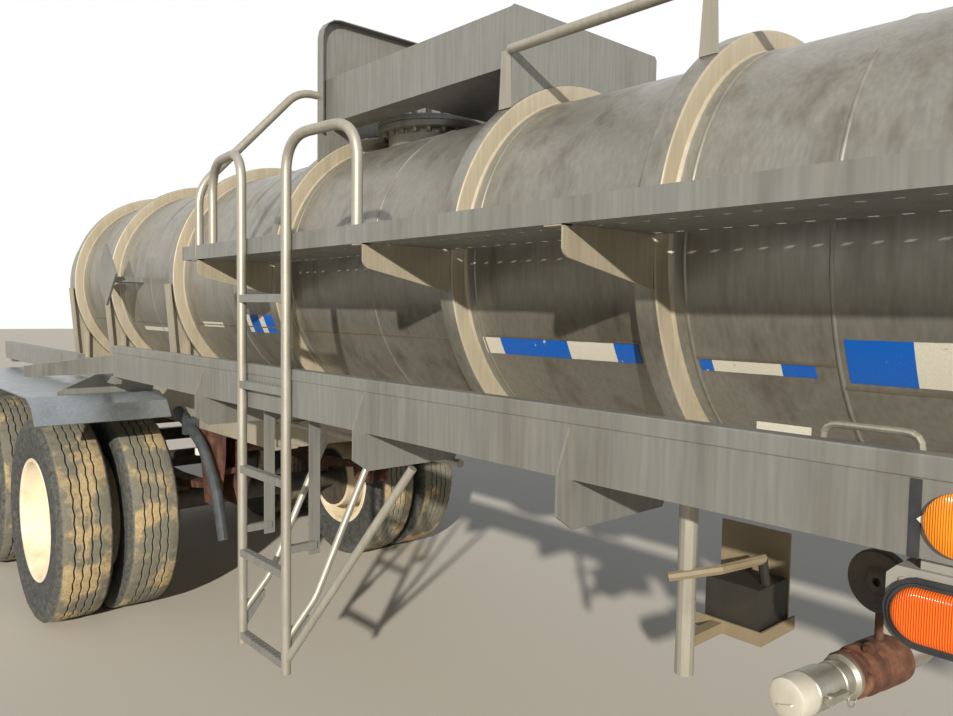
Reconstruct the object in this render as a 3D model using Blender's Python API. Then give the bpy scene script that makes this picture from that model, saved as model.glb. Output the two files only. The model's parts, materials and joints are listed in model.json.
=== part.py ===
import bpy
from math import acos, cos, degrees, pi, radians, sin, sqrt
from mathutils import Matrix

# Tank semi-trailer. Metres, +X to the front, +Y to its left side, +Z up, ground at Z = 0.

# Driving dimensions
gap = 0.0004
tank_radius = 0.586
ring_depth = 0.061
ring_width = 0.068
tank_rear = -5.95
tank_front = 6.05
tyre_radius = 0.540
tyre_width = 0.275
twin_pitch = 0.330
twin_middle = 0.935
axle_rear = -5.52
rail_middle = 0.470
rail_width = 0.120
rail_depth = 0.280
sheet_steel = 0.006
pipe_radius = 0.0165
ladder_plane = 0.989
rung_pitch = 0.300
tray_face = 0.970
tray_width = 0.214
deck_width = 0.3215
fender_outer = 1.330
fender_inner = 0.700
dam_height = 0.451
dam_half_width = 0.430
coupler_radius = 0.047

# Places that follow from them
axle_fore = axle_rear + 2 * tyre_radius + 0.190
rail_top = 2 * tyre_radius + 0.230
rail_bottom = rail_top - rail_depth
rail_inner = rail_middle - rail_width / 2
rail_outer = rail_middle + rail_width / 2
ring_radius = tank_radius + ring_depth
ring_reach = ring_radius + 3 * gap
tank_height = rail_top + 0.0215 + sqrt(ring_radius ** 2 - rail_inner ** 2)
crown = tank_height + ring_radius

for item in list(bpy.data.objects):
    bpy.data.objects.remove(item)

paint = {}


def material(name, colour, metal, rough):
    if name in paint:
        return paint[name]
    made = bpy.data.materials.new(name)
    made.use_nodes = True
    shader = made.node_tree.nodes["Principled BSDF"]
    shader.inputs["Base Color"].default_value = (colour[0], colour[1], colour[2], 1.0)
    shader.inputs["Metallic"].default_value = metal
    shader.inputs["Roughness"].default_value = rough
    paint[name] = made
    return made


stainless = (0.40, 0.38, 0.34)
dark_steel = (0.05, 0.05, 0.055)
cream = (0.78, 0.70, 0.54)
rust = (0.22, 0.09, 0.05)
rubber = (0.03, 0.03, 0.032)


def mesh_object(name, verts, faces):
    mesh = bpy.data.meshes.new(name)
    mesh.from_pydata(verts, [], faces)
    mesh.validate()
    mesh.update()
    made = bpy.data.objects.new(name, mesh)
    bpy.context.scene.collection.objects.link(made)
    return made


# One welded piece: every solid in the list overlaps another and they are joined into one body.
def node(name, pieces, colour, metal=0.0, rough=0.5, turn_at=(0.0, 0.0, 0.0)):
    made = mesh_object(name, *pieces[0])
    others = []
    for k, piece in enumerate(pieces[1:]):
        other = mesh_object(name + "_piece_" + str(k), *piece)
        others.append(other)
        join = made.modifiers.new("join", "BOOLEAN")
        join.operation = "UNION"
        join.solver = "EXACT"
        join.object = other
    if others:
        seen = bpy.context.evaluated_depsgraph_get()
        whole = bpy.data.meshes.new_from_object(made.evaluated_get(seen))
        made.modifiers.clear()
        made.data = whole
        for other in others:
            bpy.data.objects.remove(other)
    made.data.transform(Matrix.Translation([-v for v in turn_at]))
    made.location = turn_at
    made.data.materials.clear()
    made.data.materials.append(material(name, colour, metal, rough))
    return made


def box(x0, x1, y0, y1, z0, z1):
    verts = [(x0, y0, z0), (x1, y0, z0), (x1, y1, z0), (x0, y1, z0),
             (x0, y0, z1), (x1, y0, z1), (x1, y1, z1), (x0, y1, z1)]
    faces = [(3, 2, 1, 0), (4, 5, 6, 7), (0, 1, 5, 4), (1, 2, 6, 5), (2, 3, 7, 6), (3, 0, 4, 7)]
    return verts, faces


def area(points):
    total = 0.0
    for i, p in enumerate(points):
        q = points[(i + 1) % len(points)]
        total += p[0] * q[1] - q[0] * p[1]
    return total / 2


# A flat outline pushed along one axis. The outline is (y, z) for x, (x, z) for y and (x, y) for z.
def plate(outline, axis, low, high):
    points = list(outline)
    anticlockwise = area(points) > 0
    if (axis == "y") == anticlockwise:
        points.reverse()
    place = {"x": lambda p, t: (t, p[0], p[1]),
             "y": lambda p, t: (p[0], t, p[1]),
             "z": lambda p, t: (p[0], p[1], t)}[axis]
    count = len(points)
    verts = [place(p, low) for p in points] + [place(p, high) for p in points]
    faces = [tuple(range(count - 1, -1, -1)), tuple(range(count, 2 * count))]
    for i in range(count):
        j = (i + 1) % count
        faces.append((i, j, count + j, count + i))
    return verts, faces


# A closed outline of (along, radius) turned about an axis through the centre.
def turned(outline, axis, centre, steps, first=0.0):
    points = list(outline)
    if area(points) < 0:
        points.reverse()
    verts = []
    for k in range(steps):
        angle = first + 2 * pi * k / steps
        for along, r in points:
            a, b = r * cos(angle), r * sin(angle)
            if axis == "x":
                verts.append((centre[0] + along, centre[1] + a, centre[2] + b))
            elif axis == "y":
                verts.append((centre[0] + b, centre[1] + along, centre[2] + a))
            else:
                verts.append((centre[0] + a, centre[1] + b, centre[2] + along))
    count = len(points)
    faces = []
    for k in range(steps):
        after = (k + 1) % steps
        for i in range(count):
            j = (i + 1) % count
            faces.append((k * count + i, after * count + i, after * count + j, k * count + j))
    faces = [tuple(reversed(face)) for face in faces]
    return verts, faces


# A solid whose outline of (along, radius) starts and ends on the axis.
def spun(outline, axis, centre, steps, first=0.0):
    inner = outline[1:-1]
    verts = []
    for k in range(steps):
        angle = first + 2 * pi * k / steps
        for along, r in inner:
            a, b = r * cos(angle), r * sin(angle)
            if axis == "x":
                verts.append((centre[0] + along, centre[1] + a, centre[2] + b))
            elif axis == "y":
                verts.append((centre[0] + b, centre[1] + along, centre[2] + a))
            else:
                verts.append((centre[0] + a, centre[1] + b, centre[2] + along))
    ends = []
    for along in (outline[0][0], outline[-1][0]):
        shift = {"x": (along, 0, 0), "y": (0, along, 0), "z": (0, 0, along)}[axis]
        ends.append(len(verts))
        verts.append(tuple(centre[i] + shift[i] for i in range(3)))
    count = len(inner)
    faces = []
    for k in range(steps):
        after = (k + 1) % steps
        faces.append((ends[0], after * count, k * count))
        for i in range(count - 1):
            faces.append((k * count + i, after * count + i, after * count + i + 1, k * count + i + 1))
        faces.append((ends[1], k * count + count - 1, after * count + count - 1))
    if outline[-1][0] < outline[0][0]:
        faces = [tuple(reversed(face)) for face in faces]
    return verts, faces


def rod(axis, centre, radius, low, high, steps=16):
    return spun([(low, 0), (low, radius), (high, radius), (high, 0)], axis, centre, steps)


def minus(a, b):
    return (a[0] - b[0], a[1] - b[1], a[2] - b[2])


def plus(a, b, k=1.0):
    return (a[0] + b[0] * k, a[1] + b[1] * k, a[2] + b[2] * k)


def cross(a, b):
    return (a[1] * b[2] - a[2] * b[1], a[2] * b[0] - a[0] * b[2], a[0] * b[1] - a[1] * b[0])


def unit(a):
    size = sqrt(a[0] ** 2 + a[1] ** 2 + a[2] ** 2)
    return (a[0] / size, a[1] / size, a[2] / size)


# Corners of a path replaced by short arcs of the given bend radius.
def bent(corners, bend, steps=4):
    path = [corners[0]]
    for k in range(1, len(corners) - 1):
        before = unit(minus(corners[k - 1], corners[k]))
        after = unit(minus(corners[k + 1], corners[k]))
        for s in range(steps + 1):
            t = s / steps
            a = plus(corners[k], before, bend * (1 - t))
            b = plus(corners[k], after, bend * t)
            path.append((a[0] * (1 - t) + b[0] * t, a[1] * (1 - t) + b[1] * t,
                         a[2] * (1 - t) + b[2] * t))
    path.append(corners[-1])
    return path


# A round pipe along a path, with flat ends and mitred bends.
def pipe(path, radius, steps=12):
    verts = []
    side = None
    count = len(path)
    for k in range(count):
        before = unit(minus(path[k], path[k - 1])) if k else None
        after = unit(minus(path[k + 1], path[k])) if k < count - 1 else None
        if before and after:
            way = unit(plus(before, after))
            stretch = 1 / max(0.5, sum(way[i] * after[i] for i in range(3)))
        else:
            way = before or after
            stretch = 1.0
        if side is None:
            rough_side = (0, 0, 1) if abs(way[2]) < 0.9 else (1, 0, 0)
            side = unit(cross(way, rough_side))
        along = sum(side[i] * way[i] for i in range(3))
        side = unit(plus(side, way, -along))
        other = cross(way, side)
        turn = minus(after, before) if before and after else (0, 0, 0)
        size = sqrt(sum(v * v for v in turn))
        for s in range(steps):
            angle = 2 * pi * s / steps
            offset = plus((side[0] * cos(angle), side[1] * cos(angle), side[2] * cos(angle)),
                          other, sin(angle))
            if size > 1e-6:
                lean = unit(turn)
                part = sum(offset[i] * lean[i] for i in range(3))
                offset = plus(offset, lean, part * (stretch - 1))
            verts.append(plus(path[k], offset, radius))
    faces = [tuple(range(steps - 1, -1, -1)), tuple((count - 1) * steps + s for s in range(steps))]
    for k in range(count - 1):
        for s in range(steps):
            t = (s + 1) % steps
            faces.append((k * steps + s, k * steps + t, (k + 1) * steps + t, (k + 1) * steps + s))
    return verts, faces


# A piece swung about the upright line through a place.
def swung(piece, place, angle):
    verts, faces = piece
    turned_verts = []
    for x, y, z in verts:
        dx = x - place[0]
        dy = y - place[1]
        turned_verts.append((place[0] + dx * cos(angle) - dy * sin(angle),
                             place[1] + dx * sin(angle) + dy * cos(angle), z))
    return turned_verts, faces


def mirrored(piece):
    verts, faces = piece
    return [(v[0], -v[1], v[2]) for v in verts], [tuple(reversed(face)) for face in faces]


def both(pieces):
    return list(pieces) + [mirrored(piece) for piece in pieces]


# Tank shell with flanged and dished ends, and its stiffening rings as one turned outline
rear_rings = (-5.615, -4.837, -3.799, -2.683, -1.521, -0.766)
front_rings = (0.330, 1.430, 2.530, 3.330, 4.430, 5.530)
dish = [(0.0, 0.0), (0.012, 0.256), (0.040, 0.495), (0.085, 0.717), (0.140, 0.870), (0.200, 0.966),
        (0.250, 1.0)]
shell = [(tank_rear - 0.25 + along, tank_radius * share) for along, share in dish]
for face in rear_rings + front_rings:
    shell += [(face - ring_width - 0.012, tank_radius), (face - ring_width, ring_radius),
              (face, ring_radius), (face + 0.012, tank_radius)]
shell += [(tank_front + 0.25 - along, tank_radius * share) for along, share in reversed(dish)]
manhole_x = -2.420
neck_top = crown - 0.009
neck = [(neck_top - 0.220, 0), (neck_top - 0.220, 0.205), (neck_top - 0.030, 0.205), (neck_top - 0.030,
                                                                                      0.250),
        (neck_top, 0.250), (neck_top, 0)]
node("tank_shell", [spun(shell, "x", (0, 0, tank_height), 40), spun(neck, "z", (manhole_x, 0, 0), 32)],
     stainless, 0.9, 0.38)


# Saddle leg under a ring: web that follows the ring, side plate tangent to it, and a stiffener
def leg(face, foot):
    rim = []
    for k in range(11):
        angle = radians(-3 - 54 * k / 10)
        y = ring_reach * cos(angle)
        z = tank_height + ring_reach * sin(angle)
        if z > foot + 0.010:
            rim.append((y, z))
    middle = face - ring_width / 2
    skin_foot = ring_radius - 0.019
    skin_head = ring_radius + 0.0205
    outline = rim + [(rim[-1][0], foot - 0.004), (skin_foot - 0.006, foot - 0.004), (skin_head - 0.0075,
                                                                                     rim[0][1])]
    web = plate(outline, "x", middle - sheet_steel, middle + sheet_steel)
    skin = plate([(skin_foot - 0.010, foot - 0.004), (skin_foot, foot - 0.004), (skin_head, rim[0][1]),
                  (skin_head - 0.010, rim[0][1])], "x", face - ring_width, face)
    rib_y = ring_radius - 0.091
    rib_top = tank_height - sqrt(ring_reach ** 2 - rib_y ** 2) - 0.006
    rib = plate([(rib_y, foot - 0.004), (rib_y + 0.010, foot - 0.004), (rib_y + 0.010, rib_top),
                 (rib_y, rib_top - 0.016)], "x", middle, face)
    return [web, skin, rib]


# Channel rail open inwards
def rail(x0, x1, top, bottom):
    outline = [(rail_outer, bottom), (rail_outer, top), (rail_inner, top), (rail_inner, top - 0.014),
               (rail_outer - 0.010, top - 0.014), (rail_outer - 0.010, bottom + 0.014),
               (rail_inner, bottom + 0.014), (rail_inner, bottom)]
    return plate(outline, "x", x0, x1)


# Rear frame: rails, cross members, sole plates with saddle legs
sole_outer = ring_radius - 0.002
pieces = both([rail(-6.200, -2.900, rail_top, rail_bottom)])
for x in (-6.150, -4.885, -3.600, -2.950):
    pieces.append(box(x - 0.035, x + 0.035, -rail_outer + 0.005, rail_outer - 0.005, rail_bottom + 0.002,
                      rail_bottom + 0.120))
side_pieces = [box(-5.720, -3.770, rail_middle + 0.010, sole_outer, rail_top - 0.008, rail_top)]
for face in rear_rings[:3]:
    side_pieces += leg(face, rail_top)
node("rear_frame", pieces + both(side_pieces), stainless, 0.8, 0.45)

# Spring hangers, each a left and a right pair of plates joined by a cross tube under the rails
hanger_table = (("hanger_fore", axle_fore + 0.650, 0.150), ("hanger_middle", (axle_fore + axle_rear) / 2,
                                                            0.120),
                ("hanger_rear", axle_rear - 0.580, 0.080))
hanger_head = rail_bottom - gap
spring_side = 0.0456
for name, x, half in hanger_table:
    side_pieces = [box(x - half, x + half, rail_inner, rail_outer, hanger_head - 0.012, hanger_head)]
    for low in (rail_middle - spring_side - gap - 0.012, rail_middle + spring_side + gap):
        side_pieces.append(plate([(x - half, hanger_head - 0.004), (x + half, hanger_head - 0.004),
                                  (x + half, hanger_head - 0.110), (x + half * 0.6, tyre_radius + 0.100),
                                  (x - half * 0.6, tyre_radius + 0.100), (x - half, hanger_head - 0.110)],
                                 "y", low, low + 0.012))
    side_pieces.append(box(x - half * 0.5, x + half * 0.5, rail_middle - 0.052, rail_middle + 0.052,
                           tyre_radius + 0.270, tyre_radius + 0.300))
    inner = rail_middle - spring_side - gap - 0.006
    node(name, [rod("y", (x, 0, tyre_radius + 0.400), 0.034, -inner, inner, 12)] + both(side_pieces),
         rust, 0.5, 0.6)

# Front frame: rails, saddle legs and the pick-up plate that rests on a tractor
bed = rail_top - 0.145
pieces = both([rail(3.200, 6.020, rail_top, bed + 0.015)])
for x in (3.600, 4.100, 5.950):
    pieces.append(box(x - 0.035, x + 0.035, -rail_outer + 0.005, rail_outer - 0.005, bed + 0.016,
                      bed + 0.075))
pieces.append(box(4.400, 5.900, -0.600, 0.600, bed, bed + 0.017))
side_pieces = [box(3.200, 5.600, rail_middle + 0.010, sole_outer, rail_top - 0.008, rail_top)]
for face in front_rings[3:]:
    side_pieces += leg(face, rail_top)
node("front_frame", pieces + both(side_pieces), stainless, 0.8, 0.45)
pin_top = bed - gap
node("king_pin", [spun([(pin_top, 0), (pin_top, 0.060), (pin_top - 0.015, 0.060), (pin_top - 0.015, 0.0254),
                        (pin_top - 0.075, 0.0254), (pin_top - 0.075, 0.0365), (pin_top - 0.097, 0.0365),
                        (pin_top - 0.097, 0)], "z", (5.10, 0, 0), 24)], dark_steel, 0.8, 0.35)

# Landing legs on the ground, with their cross beam under a ring
leg_ring = front_rings[2]
leg_x = leg_ring - 0.030
beam = rail_top - 0.142
pieces = [box(leg_x - 0.100, leg_x + 0.100, -sole_outer, sole_outer, beam - 0.012, beam)]
side_pieces = [box(leg_x - 0.060, leg_x + 0.060, 0.460, 0.580, 0.480, beam - 0.008),
               box(leg_x - 0.045, leg_x + 0.045, 0.475, 0.565, 0.020, 0.490),
               box(leg_x - 0.150, leg_x + 0.150, 0.390, 0.650, 0.0, 0.030)] + leg(leg_ring, beam)
pieces.append(box(leg_x - 0.040, leg_x + 0.040, -0.470, 0.470, 0.600, 0.660))
node("landing_legs", pieces + both(side_pieces), dark_steel, 0.5, 0.5)
node("leg_crank", [box(leg_x - 0.080, leg_x + 0.080, -0.700, -0.580 - gap, 0.840, 1.000),
                   rod("y", (leg_x, 0, 0.930), 0.014, -0.812, -0.690),
                   box(leg_x - 0.014, leg_x + 0.014, -0.820, -0.806, 0.760, 0.950)], dark_steel, 0.5, 0.5)

# Walkway on the right side, with turned edges on one bracket plate at each ring
walk_top = tank_height + 0.088
walk_low = walk_top - 0.054
walk_inner = ring_radius + 0.0005
walk_outer = walk_inner + deck_width + 0.001
lip = 0.004
pieces = [plate([(-walk_outer, walk_low), (-walk_outer, walk_top), (-walk_inner - 0.001, walk_top),
                 (-walk_inner - 0.001, walk_low), (-walk_inner - 0.001 - lip, walk_low),
                 (-walk_inner - 0.001 - lip, walk_top - lip), (-walk_outer + lip, walk_top - lip),
                 (-walk_outer + lip, walk_low)], "x", -2.830, 0.900)]
for face in rear_rings[3:] + front_rings[:1]:
    bracket = [(-walk_outer + 0.002, walk_top - 0.002), (-walk_outer + 0.002, walk_low - 0.056),
               (-walk_outer + 0.016, walk_low - 0.070), (-walk_inner, walk_low - 0.130),
               (-walk_inner, walk_top - 0.002)]
    pieces.append(plate(bracket, "x", face - 0.008, face - 0.008 + sheet_steel))
    pieces.append(box(face - 0.065, face - 0.004, -walk_outer, -walk_outer + 0.030, walk_low - 0.003,
                      walk_low + 0.001))
node("walkway", pieces, stainless, 0.7, 0.5)

# Ladder: two pipe stringers with hooped tops, flat rungs, and the struts that hold its foot
tray_low = rail_top + 0.019
tray_inner = tray_face - tray_width
gusset_low = tray_low - 0.109
ladder_xs = (-2.250, -1.930)
foot_z = 0.480
hoop_top = walk_top + 0.302
pieces = []
hoop_y = walk_outer - 0.018
for x, hoop_foot in ((ladder_xs[0], ladder_xs[0] - 0.327), (ladder_xs[1], ladder_xs[1] + 0.352)):
    hoop = [(x, -ladder_plane, foot_z), (x, -ladder_plane, hoop_top), (hoop_foot, -hoop_y, hoop_top),
            (hoop_foot, -hoop_y, walk_top + gap)]
    pieces.append(pipe(bent(hoop, 0.120), pipe_radius))
    pieces.append(pipe([(x, -ladder_plane, foot_z + 0.110), (x, -0.880, foot_z + 0.230),
                        (x, -0.760, gusset_low - 0.260), (x, -0.640, gusset_low - 0.015)], 0.0125, 10))
    pieces.append(box(x - 0.005, x + 0.005, -0.905, -0.865, 0.860, tray_low - gap))
    pieces.append(box(x - 0.010, x + 0.010, -ladder_plane, -0.880, 0.880, 0.905))
for k in range(5):
    z = foot_z + 0.046 + rung_pitch * k
    pieces.append(box(ladder_xs[0] - 0.002, ladder_xs[1] + 0.002, -ladder_plane - 0.014,
                      -ladder_plane + 0.014,
                      z - 0.026, z))
strut_z = gusset_low - 0.0125 - gap
pieces.append(pipe([(-2.640, -0.640, strut_z), (-1.470, -0.640, strut_z)], 0.0125, 10))
pieces.append(pipe([(ladder_xs[1], -ladder_plane, foot_z + 0.040), (-1.503, -0.800, gusset_low - 0.012)],
                   0.0135, 10))
node("ladder", pieces, stainless, 0.8, 0.4)

# Hose trays with a rail on top and hanging gussets, one on each side
side_pieces = [plate([(tray_face, tray_low), (tray_face, tray_low + 0.121), (tray_face - sheet_steel,
                                                                             tray_low + 0.121),
                      (tray_face - sheet_steel, tray_low + sheet_steel), (tray_inner + sheet_steel,
                                                                          tray_low + sheet_steel),
                      (tray_inner + sheet_steel, tray_low + 0.121), (tray_inner, tray_low + 0.121),
                      (tray_inner, tray_low)], "x", -3.730, 1.900),
               box(-3.730, 1.900, tray_face - 0.035, tray_face, tray_low + 0.117, tray_low + 0.153)]
gusset_inner = ring_radius - 0.072
for face in (-2.610, -1.500, -0.730, 0.330, 1.430):
    side_pieces.append(plate([(tray_face - 0.004, tray_low + 0.111), (tray_face + 0.006, tray_low + 0.111),
                              (tray_face + 0.042, tray_low + 0.016), (tray_face + 0.042, tray_low - 0.074),
                              (tray_face - 0.010, gusset_low), (0.640, gusset_low), (gusset_inner,
                                                                                     tray_low - 0.009),
                              (gusset_inner + 0.025, tray_low + 0.0015), (tray_face - 0.004,
                                                                          tray_low + 0.0015)],
                             "x", face - sheet_steel, face))
node("hose_tray_left", side_pieces, stainless, 0.7, 0.5)
node("hose_tray_right", [mirrored(piece) for piece in side_pieces], stainless, 0.7, 0.5)

# Curved handle standing on the right tray, and the shelf with its box hung from the same tray
handle_low = tray_low + 0.121 + gap
handle_y = tray_inner + 0.003
handle_path = [(-0.300, -handle_y, handle_low), (-0.300, -handle_y, handle_low + 0.032),
               (-0.130, -handle_y, handle_low + 0.032), (-0.130, -handle_y, handle_low)]
node("tray_handle", [pipe(bent(handle_path, 0.028), 0.007, 10)], stainless, 0.8, 0.4)
post_y = 0.790
shelf_z = rail_bottom - 0.055
node("utility_shelf", [rod("z", (-0.560, -post_y, 0), 0.020, 0.920, tray_low - gap, 14),
                       box(-0.572, -0.548, -post_y, -0.640, shelf_z, shelf_z + 0.024),
                       box(-0.625, -0.455, -0.665, -0.515, shelf_z, shelf_z + sheet_steel),
                       box(-0.625, -0.455, -0.665, -0.660, shelf_z, shelf_z + 0.030),
                       box(-0.460, -0.455, -0.665, -0.515, shelf_z, shelf_z + 0.030),
                       box(-0.640, -0.470, -0.521, -0.515, shelf_z, gusset_low - 0.030),
                       box(-0.600, -0.470, -0.650, -0.530, shelf_z + 0.003, shelf_z + 0.115),
                       pipe([(-0.580, -0.828, 1.130), (-0.500, -0.760, 1.152), (-0.482, -0.620, 1.150),
                             (-0.482, -0.600, shelf_z + 0.100)], 0.0105, 8)], dark_steel, 0.4, 0.5)

# Spill dam on the crown: square near plate, tall far plate with a folded edge, panels and a trough floor
dam_far = -2.690
dam_near = -1.530
near_half = dam_half_width - 0.035


# Outline standing on a ring: the ring's arc from side to side, then the given top
def standing(half, top):
    first = degrees(acos(half / ring_reach))
    steps = int((180 - 2 * first) / 6.4) + 1
    arc = []
    for k in range(steps + 1):
        angle = radians(first + (180 - 2 * first) * k / steps)
        arc.append((ring_reach * cos(angle), tank_height + ring_reach * sin(angle)))
    return arc + top


def corner(half, top, round_by, steps=4):
    arc = []
    for k in range(steps + 1):
        angle = pi / 2 * k / steps
        arc.append((-half + round_by * (1 - cos(angle)), top - round_by * (1 - sin(angle))))
    return arc + [(-y, z) for y, z in reversed(arc)]


near_top = crown + dam_height - 0.250
far_top = crown + dam_height
pieces = [plate(standing(near_half, corner(near_half, near_top, 0.012, 1)), "x", dam_near - 0.008,
                dam_near),
          plate(standing(dam_half_width, corner(dam_half_width, far_top, 0.090)), "x", dam_far - 0.008,
                dam_far)]
edge = [(-dam_half_width, crown - 0.030)] + corner(dam_half_width, far_top, 0.090) + [(dam_half_width,
                                                                                       crown - 0.030)]
inner_half = dam_half_width - 0.004
edge += [(inner_half, crown - 0.030)] + list(reversed(corner(inner_half, far_top - 0.004, 0.086)))
edge += [(-inner_half, crown - 0.030)]
pieces.append(plate(edge, "x", dam_far - 0.004, dam_far + 0.035))
floor_z = crown + 3 * gap
pieces.append(plate([(dam_far - 0.004, -near_half + 0.002), (dam_near - 0.004, -near_half + 0.002),
                     (dam_near - 0.004, near_half - 0.002), (dam_far - 0.004, near_half - 0.002),
                     (dam_far - 0.004, 0.262), (manhole_x + 0.262, 0.262), (manhole_x + 0.262, -0.262),
                     (dam_far - 0.004, -0.262)], "z", floor_z, floor_z + sheet_steel))
for sign in (1, -1):
    low, high = sorted(((near_half - 0.006) * sign, near_half * sign))
    pieces.append(box(dam_far - 0.004, dam_near - 0.004, low, high, floor_z, near_top - 0.010))
node("spill_dam", pieces, stainless, 0.7, 0.5)
lid = neck_top + gap
node("manhole_cover", [spun([(lid, 0), (lid, 0.250), (lid + 0.025, 0.250), (lid + 0.030, 0.190),
                             (lid + 0.060, 0.050),
                             (lid + 0.060, 0)], "z", (manhole_x, 0, 0), 32)], stainless, 0.8, 0.4)

# Hand rails along the crown and from the walkway to the dam
crown_rail_y = 0.400
crown_rail_z = crown + 0.051
post_low = tank_height + sqrt(ring_radius ** 2 - (crown_rail_y - 0.003) ** 2) + gap
pieces = [pipe([(dam_near + gap, -crown_rail_y, crown_rail_z), (0.900, -crown_rail_y, crown_rail_z)],
               pipe_radius)]
for face in (rear_rings[5], front_rings[0]):
    pieces.append(plate([(face - 0.054, post_low), (face - 0.001, post_low), (face - 0.004, crown_rail_z),
                         (face - 0.047, crown_rail_z)], "y", -crown_rail_y - 0.003, -crown_rail_y + 0.003))
node("crown_rail", pieces, stainless, 0.8, 0.4)
side_y = walk_outer - 0.015
node("side_rail", [pipe(bent([(-2.700, -side_y, walk_top + gap), (-2.700, -side_y, walk_top + 0.225),
                              (-2.700, -0.520, crown + 0.121), (-2.700, -dam_half_width - gap,
                                                                crown + 0.121)], 0.070),
                        pipe_radius)], stainless, 0.8, 0.4)

# Fenders, and the arms and rails that carry them
fender_top = rail_top - 0.076
front_lip = axle_fore + 0.550
rear_lip = axle_rear - 0.590
sheet = [(front_lip, fender_top - 0.124), (front_lip - 0.060, fender_top - 0.044), (front_lip - 0.160,
                                                                                    fender_top - 0.006),
         (rear_lip + 0.160, fender_top - 0.006), (rear_lip + 0.060, fender_top - 0.044), (rear_lip,
                                                                                          fender_top - 0.124),
         (rear_lip - 0.0055, fender_top - 0.120), (rear_lip + 0.0565, fender_top - 0.039),
         (rear_lip + 0.160, fender_top),
         (front_lip - 0.160, fender_top), (front_lip - 0.0565, fender_top - 0.039), (front_lip + 0.0055,
                                                                                     fender_top - 0.120)]
node("fender_left", [plate(sheet, "y", fender_inner, fender_outer)], (0.25, 0.28, 0.31), 0.4, 0.5)
node("fender_right", [mirrored(plate(sheet, "y", fender_inner, fender_outer))], (0.25, 0.28, 0.31), 0.4,
     0.5)
arm_low = tray_low - 0.029
arm_head = tray_low - gap
side_pieces = [plate([(tray_face - 0.040, arm_low), (tray_face - 0.040, tray_low + 0.096),
                      (tray_face - 0.002, tray_low + 0.106),
                      (fender_outer + 0.030, tray_low + 0.066), (fender_outer + 0.030, tray_low + 0.016),
                      (tray_face - 0.002, tray_low + 0.016), (tray_face - 0.002, arm_low)], "x", -3.740,
                     -3.730 - gap),
               plate([(0.720, arm_low), (0.760, arm_head), (1.000, arm_head), (1.180, fender_top + 0.016),
                      (1.180, fender_top + gap), (0.720, fender_top + gap)], "x", -3.910, -3.900),
               box(-6.180, -3.732, tray_face - 0.040, tray_face - 0.002, arm_low - 0.010, arm_head),
               box(-6.180, -4.350, tray_face - 0.040, tray_face, tray_low - 0.009, tray_low + 0.081)]
for x0, x1 in ((-4.360, -4.300), (-6.180, -6.120)):
    side_pieces.append(box(x0, x1, rail_outer + gap, tray_face - 0.030, rail_top - 0.048,
                           rail_top - 0.0088))
node("fender_arms_left", side_pieces, stainless, 0.7, 0.5)
node("fender_arms_right", [mirrored(piece) for piece in side_pieces], stainless, 0.7, 0.5)

# Axles with backing plates, and springs joined by their equalisers
hub_back = twin_middle - twin_pitch - 0.005
for name, x in (("rear_axle", axle_rear), ("fore_axle", axle_fore)):
    half_axle = [(0.580, 0.0635), (0.580, 0.190), (0.590, 0.190), (0.590, 0.045), (hub_back - gap, 0.045),
                 (hub_back - gap, 0)]
    other_half = [(-along, radius) for along, radius in reversed(half_axle)]
    node(name, [spun(other_half + half_axle, "y", (x, 0, tyre_radius), 24)], dark_steel, 0.5, 0.5)
base = tyre_radius + 0.0639
spring_low = rail_middle - spring_side
spring_high = rail_middle + spring_side
side_pieces = []
for x in (axle_fore, axle_rear):
    side_pieces.append(plate([(x - 0.560, base + 0.110), (x - 0.260, base + 0.062), (x - 0.080,
                                                                                     base + 0.045),
                              (x - 0.080, base), (x + 0.080, base), (x + 0.080, base + 0.045),
                              (x + 0.260, base + 0.062), (x + 0.560, base + 0.110), (x + 0.560,
                                                                                     base + 0.135),
                              (x + 0.260, base + 0.105), (x, base + 0.095), (x - 0.260, base + 0.105),
                              (x - 0.560, base + 0.135)], "y", spring_low, spring_high))
middle_x = (axle_fore + axle_rear) / 2
side_pieces.append(box(middle_x - 0.115, middle_x + 0.115, spring_low, spring_high, base + 0.112,
                       base + 0.170))
node("springs_left", side_pieces, rust, 0.4, 0.7)
node("springs_right", [mirrored(piece) for piece in side_pieces], rust, 0.4, 0.7)

# Twin wheels, each pair turning about its axle
seat = tyre_width / 2
rim_radius = tyre_radius - 0.224
tyre = [(-seat + 0.0295, rim_radius), (-seat, tyre_radius - 0.130), (-seat + 0.0075, tyre_radius - 0.040),
        (-seat + 0.0335, tyre_radius - 0.0025), (0.0, tyre_radius), (seat - 0.0335, tyre_radius - 0.0025),
        (seat - 0.0075, tyre_radius - 0.040), (seat, tyre_radius - 0.130), (seat - 0.0295, rim_radius)]
back = -twin_pitch
inside = rim_radius - 0.0005
twin_wheel = [(back - 0.005, 0), (back - 0.005, 0.205), (-0.040, 0.205), (-0.030, 0.250), (-0.050,
                                                                                           inside - 0.0325),
              (back + 0.044, inside - 0.0155), (back + 0.044, inside + 0.0115), (back + 0.052, inside),
              (-0.052, inside),
              (-0.044, inside + 0.0115), (0.0, 0.250), (0.044, inside + 0.0115), (0.052, inside),
              (-back - 0.052, inside), (-back - 0.044, inside + 0.0115), (-back - 0.044, inside - 0.0155),
              (0.050, inside - 0.0325), (0.022, 0.230), (0.016, 0.105), (0.120, 0.105), (0.125, 0.078),
              (0.180, 0.075), (0.188, 0.060), (0.188, 0)]
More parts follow.
